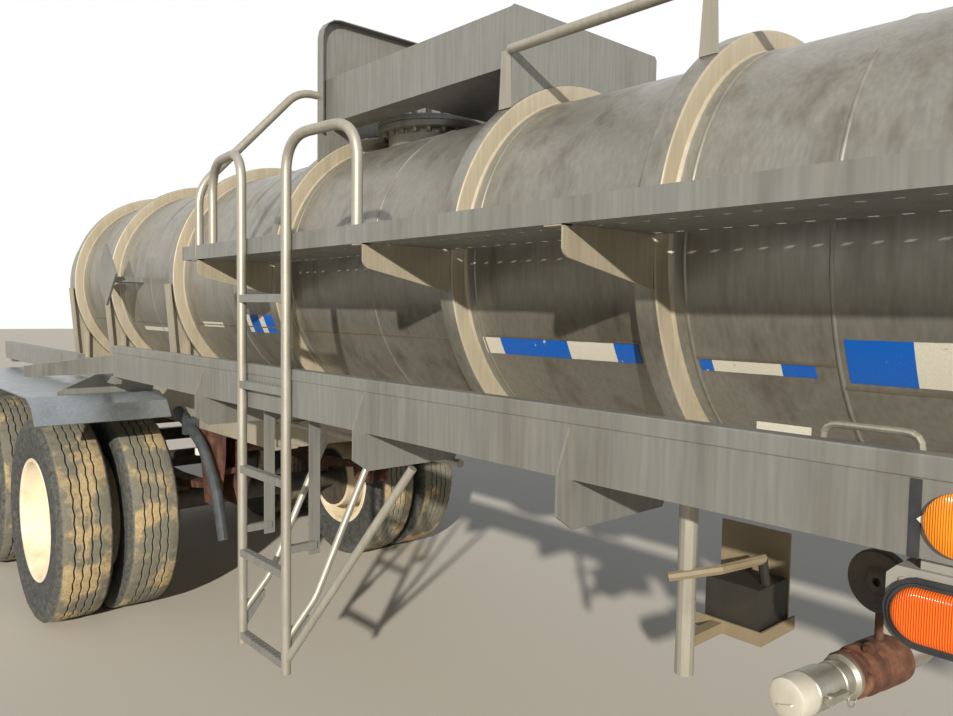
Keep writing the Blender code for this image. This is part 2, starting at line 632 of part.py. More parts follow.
for station, x in (("rear", axle_rear), ("fore", axle_fore)):
    for side, sign in (("right", -1), ("left", 1)):
        at = (x, sign * twin_middle, tyre_radius)
        for place, shift in (("outer", twin_pitch / 2), ("inner", -twin_pitch / 2)):
            piece = turned(tyre, "y", (x, twin_middle + shift, tyre_radius), 24, pi)
            node("tyre_" + station + "_" + side + "_" + place, [mirrored(piece) if sign < 0 else piece],
                 rubber, 0.0, 0.8, at)
        piece = spun(twin_wheel, "y", (x, twin_middle, tyre_radius), 24, pi)
        node("wheel_" + station + "_" + side, [mirrored(piece) if sign < 0 else piece], cream, 0.2, 0.5, at)

# Rear bumper, mud flaps and tail lamps on the frame's rear ends
frame_end = -6.200 - gap
bumper_top = tyre_radius + 0.120
pieces = [box(-6.300, -6.240, -1.150, 1.150, bumper_top - 0.100, bumper_top)]
for y in (-rail_middle, rail_middle):
    pieces.append(box(-6.245, frame_end, y - 0.050, y + 0.050, bumper_top - 0.080, rail_top - 0.020))
node("rear_bumper", pieces, dark_steel, 0.5, 0.5)
lamp_low = rail_bottom - 0.030
pieces = [box(-6.285, -6.245 - gap, -fender_outer + 0.040, fender_outer - 0.040, lamp_low,
              lamp_low + 0.160)]
for y in (0.820, 0.960, 1.100):
    pieces += both([rod("x", (0, y, lamp_low + 0.085), 0.055, -6.300, -6.270, 12)])
node("tail_lamp_bar", pieces, dark_steel, 0.5, 0.5)
side_pieces = [box(-6.245, frame_end, rail_outer + 0.030, fender_outer - 0.040, lamp_low + 0.100,
                   lamp_low + 0.150),
               box(-6.236, -6.226, 0.720, fender_outer - 0.040, 0.300, lamp_low + 0.120)]
node("mud_flap_left", side_pieces, rubber, 0.0, 0.8)
node("mud_flap_right", [mirrored(piece) for piece in side_pieces], rubber, 0.0, 0.8)

# Side lamp boxes under the trays, each with an oval lamp
oval = []
for k in range(16):
    angle = 2 * pi * k / 16
    shift = 0.048 if cos(angle) > 0 else -0.048
    oval.append((-0.003 + shift + 0.042 * cos(angle), tray_low - 0.084 + 0.042 * sin(angle)))
lamp_face = tray_face - 0.008
side_pieces = [box(-0.104, 0.104, lamp_face - 0.082, lamp_face, tray_low - 0.130, tray_low - 0.020),
               box(-0.060, 0.060, lamp_face - 0.070, lamp_face - 0.010, tray_low - 0.030, tray_low - gap),
               plate(oval, "y", lamp_face - 0.007, lamp_face + 0.023)]
node("lamp_box_left", side_pieces, (0.30, 0.30, 0.30), 0.3, 0.5)
node("lamp_box_right", [mirrored(piece) for piece in side_pieces], (0.30, 0.30, 0.30), 0.3, 0.5)

# Discharge line under the belly: sump and elbow, valve with its hand gear, coupler and dust cap,
# swung a little to the rear of square
outlet = (-0.424, 0.200)
line_z = 0.750
turn = radians(9.2)
sump_top = tank_height - sqrt(tank_radius ** 2 - (outlet[1] - coupler_radius) ** 2) + 0.0010
valve_y = 0.050
valve_end = valve_y - 0.220
flange = coupler_radius + 0.014


def on_line(piece):
    return swung(piece, outlet, -turn)


node("discharge_pipe", [on_line(pipe(bent([(outlet[0], outlet[1], sump_top), (outlet[0], outlet[1], line_z),
                                           (outlet[0], valve_y + gap, line_z)], 0.060), coupler_radius,
                                     20))],
     stainless, 0.7, 0.5)
body = [(valve_y, 0), (valve_y, flange - 0.006), (valve_y - 0.006, flange + 0.005), (valve_y - 0.110,
                                                                                     flange + 0.005),
        (valve_y - 0.125, flange - 0.008), (valve_y - 0.150, flange - 0.008), (valve_y - 0.160, flange),
        (valve_end, flange), (valve_end, 0)]
node("discharge_valve", [on_line(spun(body, "y", (outlet[0], 0, line_z), 24)),
                         on_line(rod("z", (outlet[0], -0.020, 0), 0.013, line_z + 0.040, line_z + 0.225,
                                     12)),
                         on_line(rod("y", (outlet[0], 0, line_z + 0.225), 0.085, -0.045, -0.012, 20))],
     rust, 0.4, 0.7)
start = valve_end - gap
coupler = [(start, 0), (start, flange - 0.004), (start - 0.018, flange - 0.004), (start - 0.022,
                                                                                  coupler_radius),
           (start - 0.120, coupler_radius), (start - 0.124, coupler_radius + 0.006), (start - 0.180,
                                                                                      coupler_radius + 0.006),
           (start - 0.180, 0)]
node("hose_coupler", [on_line(spun(coupler, "y", (outlet[0], 0, line_z), 24)),
                      on_line(box(outlet[0] - 0.066, outlet[0] + 0.066, start - 0.165, start - 0.140,
                                  line_z - 0.010,
                                  line_z + 0.010))], stainless, 0.8, 0.35)
cap_start = start - 0.180 - gap
node("dust_cap", [on_line(spun([(cap_start, 0), (cap_start, coupler_radius + 0.006), (cap_start - 0.060,
                                                                                      coupler_radius + 0.006),
                                (cap_start - 0.070, coupler_radius - 0.012), (cap_start - 0.070, 0)],
                               "y", (outlet[0], 0, line_z), 24))], (0.75, 0.73, 0.68), 0.3, 0.5)

# Drain hose clamped to the rear frame's right rail
hose_y = rail_outer + 0.045
node("drain_hose", [pipe(bent([(-3.930, -hose_y, 1.110), (-3.600, -hose_y, 0.965), (-3.430, -hose_y, 0.760),
                               (-3.350, -hose_y, 0.520)], 0.080), 0.028, 14),
                    box(-3.790, -3.750, -hose_y - 0.034, -rail_outer - gap, 1.000, rail_bottom + 0.060)],
     rubber, 0.0, 0.7)

# Placard holders between the rings
board = tray_inner
place_x = -4.535
place_z = tank_height + 0.028
side_pieces = [plate([(place_x - 0.180, place_z), (place_x, place_z + 0.180), (place_x + 0.180, place_z),
                      (place_x, place_z - 0.180)], "y", board - 0.006, board + 0.006),
               box(place_x - 0.120, place_x + 0.120, tank_radius + 0.0006, board, tank_height - 0.015,
                   tank_height + 0.015)]
node("placard_left", side_pieces, stainless, 0.6, 0.5)
node("placard_right", [mirrored(piece) for piece in side_pieces], stainless, 0.6, 0.5)
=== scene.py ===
import bpy
import bmesh
import json
import numpy as np
from mathutils import Matrix, Vector

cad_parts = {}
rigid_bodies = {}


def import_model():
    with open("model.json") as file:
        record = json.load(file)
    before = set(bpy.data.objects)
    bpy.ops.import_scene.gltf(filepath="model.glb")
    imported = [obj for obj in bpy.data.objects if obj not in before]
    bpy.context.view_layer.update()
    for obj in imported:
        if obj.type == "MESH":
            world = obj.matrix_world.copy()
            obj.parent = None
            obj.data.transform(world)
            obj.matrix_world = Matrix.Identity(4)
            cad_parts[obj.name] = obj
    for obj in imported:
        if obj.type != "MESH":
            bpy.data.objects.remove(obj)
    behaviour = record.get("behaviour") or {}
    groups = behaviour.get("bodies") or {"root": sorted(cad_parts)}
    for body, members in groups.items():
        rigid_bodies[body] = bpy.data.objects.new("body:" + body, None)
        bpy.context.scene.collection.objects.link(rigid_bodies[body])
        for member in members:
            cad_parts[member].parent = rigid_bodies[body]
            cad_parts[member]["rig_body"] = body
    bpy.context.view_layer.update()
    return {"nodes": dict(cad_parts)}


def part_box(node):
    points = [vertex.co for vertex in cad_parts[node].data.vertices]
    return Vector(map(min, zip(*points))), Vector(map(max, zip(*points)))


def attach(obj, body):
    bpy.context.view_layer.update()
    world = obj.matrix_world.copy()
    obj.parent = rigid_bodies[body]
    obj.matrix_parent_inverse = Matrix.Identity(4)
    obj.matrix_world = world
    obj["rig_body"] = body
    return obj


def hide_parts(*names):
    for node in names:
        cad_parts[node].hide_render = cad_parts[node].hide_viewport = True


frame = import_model()
nodes = frame["nodes"]
print("frame loaded", len(nodes), "nodes")


# Small helpers
def linear(hexText):  # sRGB hex to linear RGBA
    text = hexText.lstrip("#")
    rgb = np.array([int(text[i:i + 2], 16) for i in (0, 2, 4)]) / 255.0
    low = rgb / 12.92
    high = ((rgb + 0.055) / 1.055) ** 2.4
    return tuple(float(v) for v in np.where(rgb <= 0.04045, low, high)) + (1.0,)


# adds a node: settings are attributes or input values, inN is input number N, links map inputs to sockets
def addNode(tree, kind, links=None, **settings):
    made = tree.nodes.new(kind)
    for key, value in settings.items():
        name = key.replace("_", " ")
        if hasattr(made, key):
            setattr(made, key, value)
        elif name in made.inputs:
            made.inputs[name].default_value = value
        else:
            made.inputs[int(key[2:])].default_value = value
    for key, socket in (links or {}).items():
        tree.links.new(socket, made.inputs[key])
    return made


def newMaterial(name):
    made = bpy.data.materials.new(name)
    made.use_nodes = True
    tree = made.node_tree
    shader = tree.nodes["Principled BSDF"]
    place = addNode(tree, "ShaderNodeTexCoord").outputs["Object"]
    return made, tree, shader, place


def rampOf(tree, source, stops):
    ramp = addNode(tree, "ShaderNodeValToRGB", {"Fac": source})
    points = ramp.color_ramp.elements
    while len(points) < len(stops):
        points.new(0.5)
    for point, (where, colour) in zip(points, stops):
        point.position = where
        point.color = linear(colour) if isinstance(colour, str) else (colour, colour, colour, 1)
    return ramp.outputs["Color"]


def mathOf(tree, operation, first, second):
    made = addNode(tree, "ShaderNodeMath", operation=operation)
    for index, value in ((0, first), (1, second)):
        if isinstance(value, bpy.types.NodeSocket):
            tree.links.new(value, made.inputs[index])
        else:
            made.inputs[index].default_value = value
    return made.outputs["Value"]


def mixColours(tree, amount, first, second, blend="MIX"):
    made = addNode(tree, "ShaderNodeMix", data_type="RGBA", blend_type=blend)
    for socket, value in (("Factor", amount), ("A", first), ("B", second)):
        target = [s for s in made.inputs if s.name == socket and s.enabled][0]
        if isinstance(value, bpy.types.NodeSocket):
            tree.links.new(value, target)
        elif socket == "Factor":
            target.default_value = value
        else:
            target.default_value = linear(value)
    return [s for s in made.outputs if s.enabled][0]


def noiseOf(tree, place, scale, detail=4.0, rough=0.55, stretch=(1, 1, 1)):
    spread = addNode(tree, "ShaderNodeMapping", {"Vector": place})
    spread.inputs["Scale"].default_value = stretch
    return addNode(tree, "ShaderNodeTexNoise", {"Vector": spread.outputs["Vector"]},
                   Scale=scale, Detail=detail, Roughness=rough).outputs["Fac"]


def bumpOf(tree, shader, height, distance):
    made = addNode(tree, "ShaderNodeBump", {"Height": height}, Distance=distance, Strength=1.0)
    tree.links.new(made.outputs["Normal"], shader.inputs["Normal"])


# Shapes
def makeObject(name, verts, faces, material, body="trailer", smooth=40.0):
    mesh = bpy.data.meshes.new(name)
    mesh.from_pydata(np.asarray(verts, float).tolist(), [], [tuple(int(v) for v in face) for face in faces])
    mesh.validate()
    work = bmesh.new()
    work.from_mesh(mesh)
    bmesh.ops.recalc_face_normals(work, faces=work.faces)
    work.to_mesh(mesh)
    work.free()
    mesh.polygons.foreach_set("use_smooth", np.ones(len(mesh.polygons), bool))
    mesh.set_sharp_from_angle(angle=np.radians(smooth))
    mesh.materials.append(material)
    made = bpy.data.objects.new(name, mesh)
    bpy.context.scene.collection.objects.link(made)
    if body:
        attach(made, body)
    return made


# several (verts, faces) pieces as one list
def joined(pieces):
    verts, faces, start = [], [], 0
    for points, quads in pieces:
        verts.append(np.asarray(points, float))
        faces += [tuple(int(v) + start for v in face) for face in quads]
        start += len(points)
    return np.concatenate(verts), faces


# quads of a grid of rows by columns, closed round the columns and, if asked, round the rows
def gridFaces(rows, columns, closedRows=False, closedColumns=True):
    r = np.arange(rows if closedRows else rows - 1)
    c = np.arange(columns if closedColumns else columns - 1)
    r, c = [v.ravel() for v in np.meshgrid(r, c, indexing="ij")]
    r2, c2 = (r + 1) % rows, (c + 1) % columns
    return np.stack([r * columns + c, r * columns + c2, r2 * columns + c2, r2 * columns + c], 1).tolist()


# (along, radius) turned about an axis: point = centre + along * axis + radius * (cos t, sin t) across it
def lathe(profile, axis, centre, steps, closed=False):
    profile = np.asarray(profile, float)
    turn = np.linspace(0, 2 * np.pi, steps, endpoint=False)
    along = np.repeat(profile[:, :1], steps, 1)
    a, b = profile[:, 1:] * np.cos(turn), profile[:, 1:] * np.sin(turn)
    order = {"x": (along, a, b), "y": (b, along, a), "z": (a, b, along)}[axis]
    verts = np.stack(order, -1).reshape(-1, 3) + np.asarray(centre, float)
    faces = gridFaces(len(profile), steps, closed)
    if not closed:
        faces += [list(range(steps)), list(range(len(verts) - steps, len(verts)))]
    return verts, faces


# a round tube: each ring of the tube stands square to the path, its frame carried along without twist
def tube(path, radius, steps=16):
    path = np.asarray(path, float)
    ahead = np.gradient(path, axis=0)
    ahead /= np.linalg.norm(ahead, axis=1)[:, None]
    side = np.cross(ahead[0], (0, 0, 1) if abs(ahead[0][2]) < 0.9 else (1, 0, 0))
    sides = []
    for way in ahead:
        side = side - way * np.dot(side, way)
        side = side / np.linalg.norm(side)
        sides.append(side)
    sides = np.array(sides)
    others = np.cross(ahead, sides)
    turn = np.linspace(0, 2 * np.pi, steps, endpoint=False)[None, :, None]
    radius = np.broadcast_to(np.asarray(radius, float), (len(path),))[:, None, None]
    verts = path[:, None] + radius * (sides[:, None] * np.cos(turn) + others[:, None] * np.sin(turn))
    verts = verts.reshape(-1, 3)
    faces = gridFaces(len(path), steps)
    faces += [list(range(steps)), list(range(len(verts) - steps, len(verts)))]
    return verts, faces


# corners joined by straight runs, each corner rounded by a quadratic arc that starts bend before it
def rounded(corners, bend, steps=8):
    corners = np.asarray(corners, float)
    path = [corners[0]]
    t = np.linspace(0, 1, steps + 1)[:, None]
    for before, corner, after in zip(corners, corners[1:], corners[2:]):
        first = corner + (before - corner) / np.linalg.norm(before - corner) * bend
        last = corner + (after - corner) / np.linalg.norm(after - corner) * bend
        path += list((1 - t) ** 2 * first + 2 * t * (1 - t) * corner + t ** 2 * last)
    path.append(corners[-1])
    return np.array(path)


# a flat outline pushed along an axis; the outline is (y, z) for x, (x, z) for y and (x, y) for z
def prism(outline, axis, low, high):
    outline = np.asarray(outline, float)
    count = len(outline)
    verts = []
    for level in (low, high):
        third = np.full(count, level)
        parts = {"x": (third, outline[:, 0], outline[:, 1]), "y": (outline[:, 0], third, outline[:, 1]),
                 "z": (outline[:, 0], outline[:, 1], third)}[axis]
        verts.append(np.stack(parts, -1))
    sides = gridFaces(2, count)
    return np.concatenate(verts), sides + [list(range(count)), list(range(count, 2 * count))]


def block(x0, x1, y0, y1, z0, z1):
    return prism([(x0, y0), (x1, y0), (x1, y1), (x0, y1)], "z", z0, z1)


# a piece drawn on the left side, with sign -1 mirrored to the right
def onSide(piece, sign):
    return np.asarray(piece[0], float) * np.array([1, sign, 1]), piece[1]


# six-sided heads, a row of (x, y, z) centres, standing out along an axis
def bolts(places, axis, size, height, sides=6):
    return joined([lathe([(-height, size), (height * 0.8, size), (height, size * 0.85)], axis, place, sides)
                   for place in places])


# a copy of a CAD node with smoothed round faces stands for it
def smoothCopy(name, material, body="trailer", angle=35.0, bevel=0.0):
    source = nodes[name]
    mesh = source.data.copy()
    made = bpy.data.objects.new(name + "Fine", mesh)
    mesh.transform(source.matrix_world)
    mesh.polygons.foreach_set("use_smooth", np.ones(len(mesh.polygons), bool))
    mesh.set_sharp_from_angle(angle=np.radians(angle))
    mesh.materials.clear()
    mesh.materials.append(material)
    bpy.context.scene.collection.objects.link(made)
    if bevel:
        edge = made.modifiers.new("edge", "BEVEL")
        edge.width = bevel
        edge.segments = 2
        edge.limit_method = "ANGLE"
        edge.angle_limit = np.radians(45)
    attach(made, body)
    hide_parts(name)
    return made


# Materials
# 304 stainless plate, cold rolled and left outdoors: soft grey glints under a thin warm dust, with
# brown runs down the sides. The grain and the runs follow Z because rain does. On the tank shell the runs are
# darker and browner, dirt runs and also a painted reflection of warm ground on its shaded sides.
def weatheredStainless(name, base="#9d978a", dust="#8d8069", run="#6f5b45", metal=0.85, rough=0.42, runs=0.5):
    made, tree, shader, place = newMaterial(name)
    cloud = noiseOf(tree, place, 1.6, 5.0, 0.6)
    streak = noiseOf(tree, place, 9.0, 3.0, 0.6, (1.0, 1.0, 0.12))  # runs about 60 mm wide, half a metre long
    grain = noiseOf(tree, place, 90.0, 2.0, 0.5, (1.0, 1.0, 0.05))  # rolling grain, drawn at 10 mm
    colour = mixColours(tree, rampOf(tree, cloud, ((0.35, 0.0), (0.85, 0.55))), base, dust)
    shade = mathOf(tree, "MULTIPLY", rampOf(tree, streak, ((0.52, 0.0), (0.80, 1.0))), runs)
    colour = mixColours(tree, shade, colour, run)
    fleck = rampOf(tree, grain, ((0.3, "#6a6459"), (0.7, "#d9d2c2")))
    colour = mixColours(tree, 0.25, colour, fleck, "SOFT_LIGHT")
    tree.links.new(colour, shader.inputs["Base Color"])
    shader.inputs["Metallic"].default_value = metal
    speckle = noiseOf(tree, place, 14.0, 5.0, 0.65)
    sheen = rampOf(tree, speckle, ((0.3, rough - 0.06), (0.7, rough + 0.14)))
    tree.links.new(sheen, shader.inputs["Roughness"])
    bumpOf(tree, shader, noiseOf(tree, place, 30.0, 4.0, 0.6), 0.0005)
    return made


# Hot rolled steel with flaking rust: dull brown, orange where it is fresh, pitted.
def rustedSteel(name, deep="#33241d", mid="#5b3c2f", fresh="#84604a"):
    made, tree, shader, place = newMaterial(name)
    patch = noiseOf(tree, place, 14.0, 6.0, 0.65)
    colour = rampOf(tree, patch, ((0.30, deep), (0.52, mid), (0.72, fresh)))
    tree.links.new(colour, shader.inputs["Base Color"])
    shader.inputs["Metallic"].default_value = 0.15
    tree.links.new(rampOf(tree, patch, ((0.2, 0.62), (0.8, 0.92))), shader.inputs["Roughness"])
    bumpOf(tree, shader, noiseOf(tree, place, 120.0, 6.0, 0.7), 0.0015)
    return made


# Enamel paint over steel, brushed on and chalked by the sun: even colour, dusty hollows.
def chalkyPaint(name, colour="#e6dac0", dust="#b59d76", rough=0.5, dusty=0.5, scale=6.0):
    made, tree, shader, place = newMaterial(name)
    cloud = noiseOf(tree, place, scale, 6.0, 0.65)
    amount = mathOf(tree, "MULTIPLY", rampOf(tree, cloud, ((0.42, 0.0), (0.72, 1.0))), dusty)
    tree.links.new(mixColours(tree, amount, colour, dust), shader.inputs["Base Color"])
    sheen = rampOf(tree, cloud, ((0.3, rough - 0.05), (0.75, rough + 0.2)))
    tree.links.new(sheen, shader.inputs["Roughness"])
    bumpOf(tree, shader, noiseOf(tree, place, 80.0, 3.0, 0.5), 0.0006)
    return made


# Carbon-black tyre rubber with dried mud: a tan crust on the ribs, grey film on the walls, and dark grooves
# of painted shade.
# The mesh's own "dust" value says how much mud each place holds, and it is zero in the grooves to paint their
# shade.
def muddyRubber(name):
    made, tree, shader, place = newMaterial(name)
    mudAndGrooveShade = addNode(tree, "ShaderNodeAttribute", attribute_name="dust").outputs["Fac"]
    cake = noiseOf(tree, place, 4.0, 10.0, 0.62)
    level = mathOf(tree, "ADD", cake, mathOf(tree, "MULTIPLY", mudAndGrooveShade, 0.42))
    crust = rampOf(tree, level, ((0.93, 0.0), (1.02, 1.0)))
    mud = rampOf(tree, noiseOf(tree, place, 70.0, 8.0, 0.75), ((0.3, "#9c865f"), (0.7, "#d3bf96")))
    rubber = rampOf(tree, noiseOf(tree, place, 30.0, 5.0, 0.6), ((0.3, "#2f3132"), (0.7, "#484b4c")))
    smear = noiseOf(tree, place, 45.0, 8.0, 0.75)
    smear = mathOf(tree, "ADD", smear, mathOf(tree, "MULTIPLY", mudAndGrooveShade, 0.5))
    film = rampOf(tree, smear, ((0.55, 0.0), (1.0, 1.0)))
    dusty = mixColours(tree, mathOf(tree, "MULTIPLY", film, 0.85), rubber, "#878475")
    tree.links.new(mixColours(tree, crust, dusty, mud), shader.inputs["Base Color"])
    shader.inputs["Roughness"].default_value = 0.9
    height = mathOf(tree, "ADD", mathOf(tree, "MULTIPLY", crust, 0.6), noiseOf(tree, place, 160.0, 8.0, 0.75))
    bumpOf(tree, shader, height, 0.0035)
    return made


# EPDM rubber, moulded: plain dark grey with a slight bloom.
def plainRubber(name, colour="#3a3d3e", bloom="#5a5d5c"):
    made, tree, shader, place = newMaterial(name)
    tree.links.new(rampOf(tree, noiseOf(tree, place, 18.0, 5.0, 0.6), ((0.35, colour), (0.75, bloom))),
                   shader.inputs["Base Color"])
    shader.inputs["Roughness"].default_value = 0.6
    bumpOf(tree, shader, noiseOf(tree, place, 150.0, 3.0, 0.5), 0.0004)
    return made


# Moulded acrylic lens with fine prisms inside: saturated, glossy, with a faint painted glow standing for
# light let through.
def lensPlastic(name, colour, deep):
    made, tree, shader, place = newMaterial(name)
    prisms = addNode(tree, "ShaderNodeTexWave", {"Vector": place}, Scale=90.0, Distortion=0.4,
                     bands_direction="X").outputs["Fac"]
    tree.links.new(mixColours(tree, rampOf(tree, prisms, ((0.2, 0.0), (0.9, 1.0))), deep, colour),
                   shader.inputs["Base Color"])
    shader.inputs["Roughness"].default_value = 0.16
    # painted glow: the lens colour gives off a little light of its own, though no lamp is lit
    shader.inputs["Emission Strength"].default_value = 0.12
    shader.inputs["Emission Color"].default_value = linear(colour)
    bumpOf(tree, shader, prisms, 0.0008)
    return made


# Prismatic sheeting tape, scuffed: flat colour with a faint cell pattern and dirt at the edges.
def reflectiveTape(name, colour, scuff):
    made, tree, shader, place = newMaterial(name)
    wear = noiseOf(tree, place, 28.0, 8.0, 0.7)
    cells = addNode(tree, "ShaderNodeTexVoronoi", {"Vector": place}, Scale=220.0).outputs["Distance"]
    cellShade = rampOf(tree, cells, ((0.0, "#ffffff"), (0.6, "#8a8a8a")))
    body = mixColours(tree, 0.15, colour, cellShade, "MULTIPLY")
    tree.links.new(mixColours(tree, rampOf(tree, wear, ((0.64, 0.0), (0.67, 1.0))), body, scuff),
                   shader.inputs["Base Color"])
    shader.inputs["Roughness"].default_value = 0.35
    bumpOf(tree, shader, cells, 0.0002)
    return made


# the shell's dark brown runs are dirt runs and also a painted reflection of warm ground in the shade under
# the walkway
shellSteel = weatheredStainless("shellStainless", "#95958f", "#82796a", "#4e3d2c", 0.50, 0.34, 0.62)
plateSteel = weatheredStainless("plateStainless", "#8d8f8d", "#7f7b70", "#565044", 0.30, 0.46, 0.45)
legSteel = weatheredStainless("legStainless", "#b0ab9c", "#9c927c", "#7c6e54", 0.30, 0.50, 0.30)
pipeSteel = weatheredStainless("pipeStainless", "#bdb9ae", "#a59b88", "#8a7962", 0.80, 0.30, 0.25)
fenderSteel = weatheredStainless("fenderStainless", "#97a0a8", "#9d9a90", "#6a6e75", 0.75, 0.34, 0.30)
# a lighter, less metallic steel on faces that turn to the sun: painted sunlight on the rings' flat sides and
# the walkway brackets
paintedLitSteel = weatheredStainless("ringStainless", "#b9b19e", "#a59a82", "#7d6f58", 0.25, 0.50, 0.35)
weldSteel = weatheredStainless("weldBead", "#8a8172", "#6f6350", "#4f4436", 0.50, 0.50, 0.5)
galvanised = weatheredStainless("galvanisedPipe", "#aeaca2", "#98917f", "#7d725f", 0.50, 0.42, 0.35)
framePaint = chalkyPaint("framePaint", "#34322f", "#6f6350", 0.55, 0.7)
shelfPaint = chalkyPaint("shelfPaint", "#857860", "#a39375", 0.6, 0.6)
casePaint = chalkyPaint("casePaint", "#26241f", "#4a4335", 0.6, 0.4)
wheelPaint = chalkyPaint("wheelEnamel", "#efe4ca", "#b39c74", 0.5, 0.55)
lampPaint = chalkyPaint("lampBoxZinc", "#9b9a96", "#a9a18c", 0.4, 0.35, 20.0)
capAlloy = weatheredStainless("castAluminium", "#e6e3d8", "#c9c2ae", "#9c8f74", 0.35, 0.42, 0.2)
couplerAlloy = weatheredStainless("zincAlloy", "#b9b8b0", "#a29a86", "#7c705a", 0.75, 0.40, 0.3)
rust = rustedSteel("flakingRust")
valveRust = rustedSteel("castIronRust", "#3b2820", "#684535", "#8d6650")
tyreRubber = muddyRubber("muddyTyre")
flapRubber = plainRubber("flapRubber")
strapRubber = plainRubber("strapRubber", "#232527", "#3c3e40")
hoseRubber = plainRubber("hoseRubber", "#33383b", "#4c5255")
amberLens = lensPlastic("amberLens", "#ff7a1c", "#e04808")
amberDisc = lensPlastic("amberReflector", "#ff9d22", "#f07c0c")
redLens = lensPlastic("redLens", "#d0201a", "#8e0d0b")
blueTape = reflectiveTape("blueTape", "#1668cf", "#c9cdd2")
whiteTape = reflectiveTape("whiteTape", "#e6e3d3", "#a39c88")
print("materials made")


# Tank shell, rings and welds
def pointsOf(name):  # a CAD piece's vertices as one array
    mesh = nodes[name].data
    flat = np.empty(len(mesh.vertices) * 3)
    mesh.vertices.foreach_get("co", flat)
    return flat.reshape(-1, 3)


def spanOf(name):
    low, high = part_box(name)
    return np.array(low), np.array(high)


# faces that pass a test on their centres take another material
def recolour(made, material, test):
    mesh = made.data
    centres = np.empty(len(mesh.polygons) * 3)
    mesh.polygons.foreach_get("center", centres)
    x, y, z = centres.reshape(-1, 3).T
    index = np.zeros(len(mesh.polygons), int)
    mesh.polygons.foreach_get("material_index", index)
    mesh.materials.append(material)
    index[test(x, y, z)] = len(mesh.materials) - 1
    mesh.polygons.foreach_set("material_index", index)


tankLow, tankHigh = spanOf("tank_shell")
ringRadius = (tankHigh[2] - tankLow[2]) / 2
tankHeight = (tankHigh[2] + tankLow[2]) / 2
belly = pointsOf("tank_shell")
belly = belly[belly[:, 2] < tankHeight]
bellyRadius = np.hypot(belly[:, 1], belly[:, 2] - tankHeight)
ringEdges = np.unique(np.round(belly[bellyRadius > ringRadius - 0.0005, 0], 4)).reshape(-1, 2)
shellRadius = float(np.median(bellyRadius[(bellyRadius > 0.55) & (bellyRadius < 0.60)]))
tank = {"steps": 180, "cornerBend": 0.007, "weldToe": 0.014, "beadWidth": 0.005, "beadHeight": 0.0032,
        "besideRing": 0.040, "dishDeep": 0.25, "dishPower": 2.6, "toeRise": 0.003, "rootRise": 0.008,
        "boltInset": 0.018, "boltSize": 0.013, "boltHigh": 0.011,
        "seams": (-5.2, -4.3, -3.2, -2.05, -0.375, 0.95, 1.95, 2.95, 3.9, 4.95)}


# radius along the barrel: dished end, flat barrel, square rings with rounded corners, small weld beads
def shellProfile():
    share = np.array([0.0, 0.04, 0.30, 0.50, 0.65, 0.77, 0.865, 0.93, 0.97, 0.992, 1.0])
    depth = tank["dishDeep"] * (1 - np.sqrt(np.clip(1 - share ** tank["dishPower"], 0, 1)))
    rear = [(tankLow[0] + d, shellRadius * s) for d, s in zip(depth, share)][1:]
    front = [(tankHigh[0] - d, shellRadius * s) for d, s in zip(depth, share)][1:]
    bumps = []
    bend, toe = tank["cornerBend"], tank["weldToe"]
    knee, root = shellRadius + tank["toeRise"], shellRadius + tank["rootRise"]
    arc = np.radians(np.linspace(0, 90, 4))
    for low, high in ringEdges:
        bumps += [(low - toe, shellRadius), (low - toe * 0.6, knee), (low, root)]
        bumps += [(low + bend - bend * np.cos(a), ringRadius - bend + bend * np.sin(a)) for a in arc]
        bumps += [(high - bend + bend * np.sin(a), ringRadius - bend + bend * np.cos(a)) for a in arc]
        bumps += [(high, root), (high + toe * 0.6, knee), (high + toe, shellRadius)]
    beads = list(tank["seams"]) + [high + tank["besideRing"] for low, high in ringEdges]
    for x in beads:
        w, h = tank["beadWidth"], tank["beadHeight"]
        bumps += [(x - w, shellRadius), (x - w * 0.5, shellRadius + h * 0.8), (x, shellRadius + h),
                  (x + w * 0.5, shellRadius + h * 0.8), (x + w, shellRadius)]
    middle = sorted(bumps, key=lambda point: round(point[0], 5))
    return rear + middle + front[::-1]


def makeTank():
    shell = lathe(shellProfile(), "x", (0, 0, tankHeight), tank["steps"])
    coverLow, coverHigh = spanOf("manhole_cover")
    middle = (coverLow + coverHigh) / 2
    rim = (coverHigh[0] - coverLow[0]) / 2
    top = coverLow[2] - 0.0004
    neck = lathe([(top - 0.215, rim - 0.045), (top - 0.040, rim - 0.045), (top - 0.032, rim - 0.040),
                  (top - 0.028, rim - 0.004), (top - 0.024, rim), (top - 0.003, rim), (top, rim - 0.003)],
                 "z", (middle[0], 0, 0), 96)
    turn = np.linspace(0, 2 * np.pi, 24, endpoint=False)
    circle = rim - tank["boltInset"]
    ring = [(middle[0] + circle * np.cos(t), circle * np.sin(t), top - 0.038) for t in turn]
    nuts = bolts(ring, "z", tank["boltSize"], tank["boltHigh"])
    made = makeObject("tankBarrel", *joined([shell, neck, nuts]), shellSteel)

    def ringSide(x, y, z):  # the rings' flat sides, between the shell and the rings' rounded tops
        reach = np.hypot(y, z - tankHeight)
        beside = np.min(np.abs(x[:, None] - ringEdges.ravel()[None]), 1) < 0.010
        return (reach > shellRadius + 0.002) & (reach < ringRadius - 0.001) & beside

    # the rings' flat sides take the lighter steel, painted sunlight on them
    recolour(made, paintedLitSteel, ringSide)
    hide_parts("tank_shell")
    lid = lathe([(coverLow[2], rim), (coverLow[2] + 0.020, rim), (coverLow[2] + 0.025, rim - 0.006),
                 (coverLow[2] + 0.027, 0.200), (coverLow[2] + 0.045, 0.120), (coverHigh[2], 0.040)],
                "z", (middle[0], 0, 0), 96)
    heads = bolts([(x, y, coverLow[2] + 0.036) for x, y, z in ring], "z", tank["boltSize"], tank["boltHigh"])
    cover = makeObject("manholeLid", *joined([lid, heads]), plateSteel)
    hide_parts("manhole_cover")


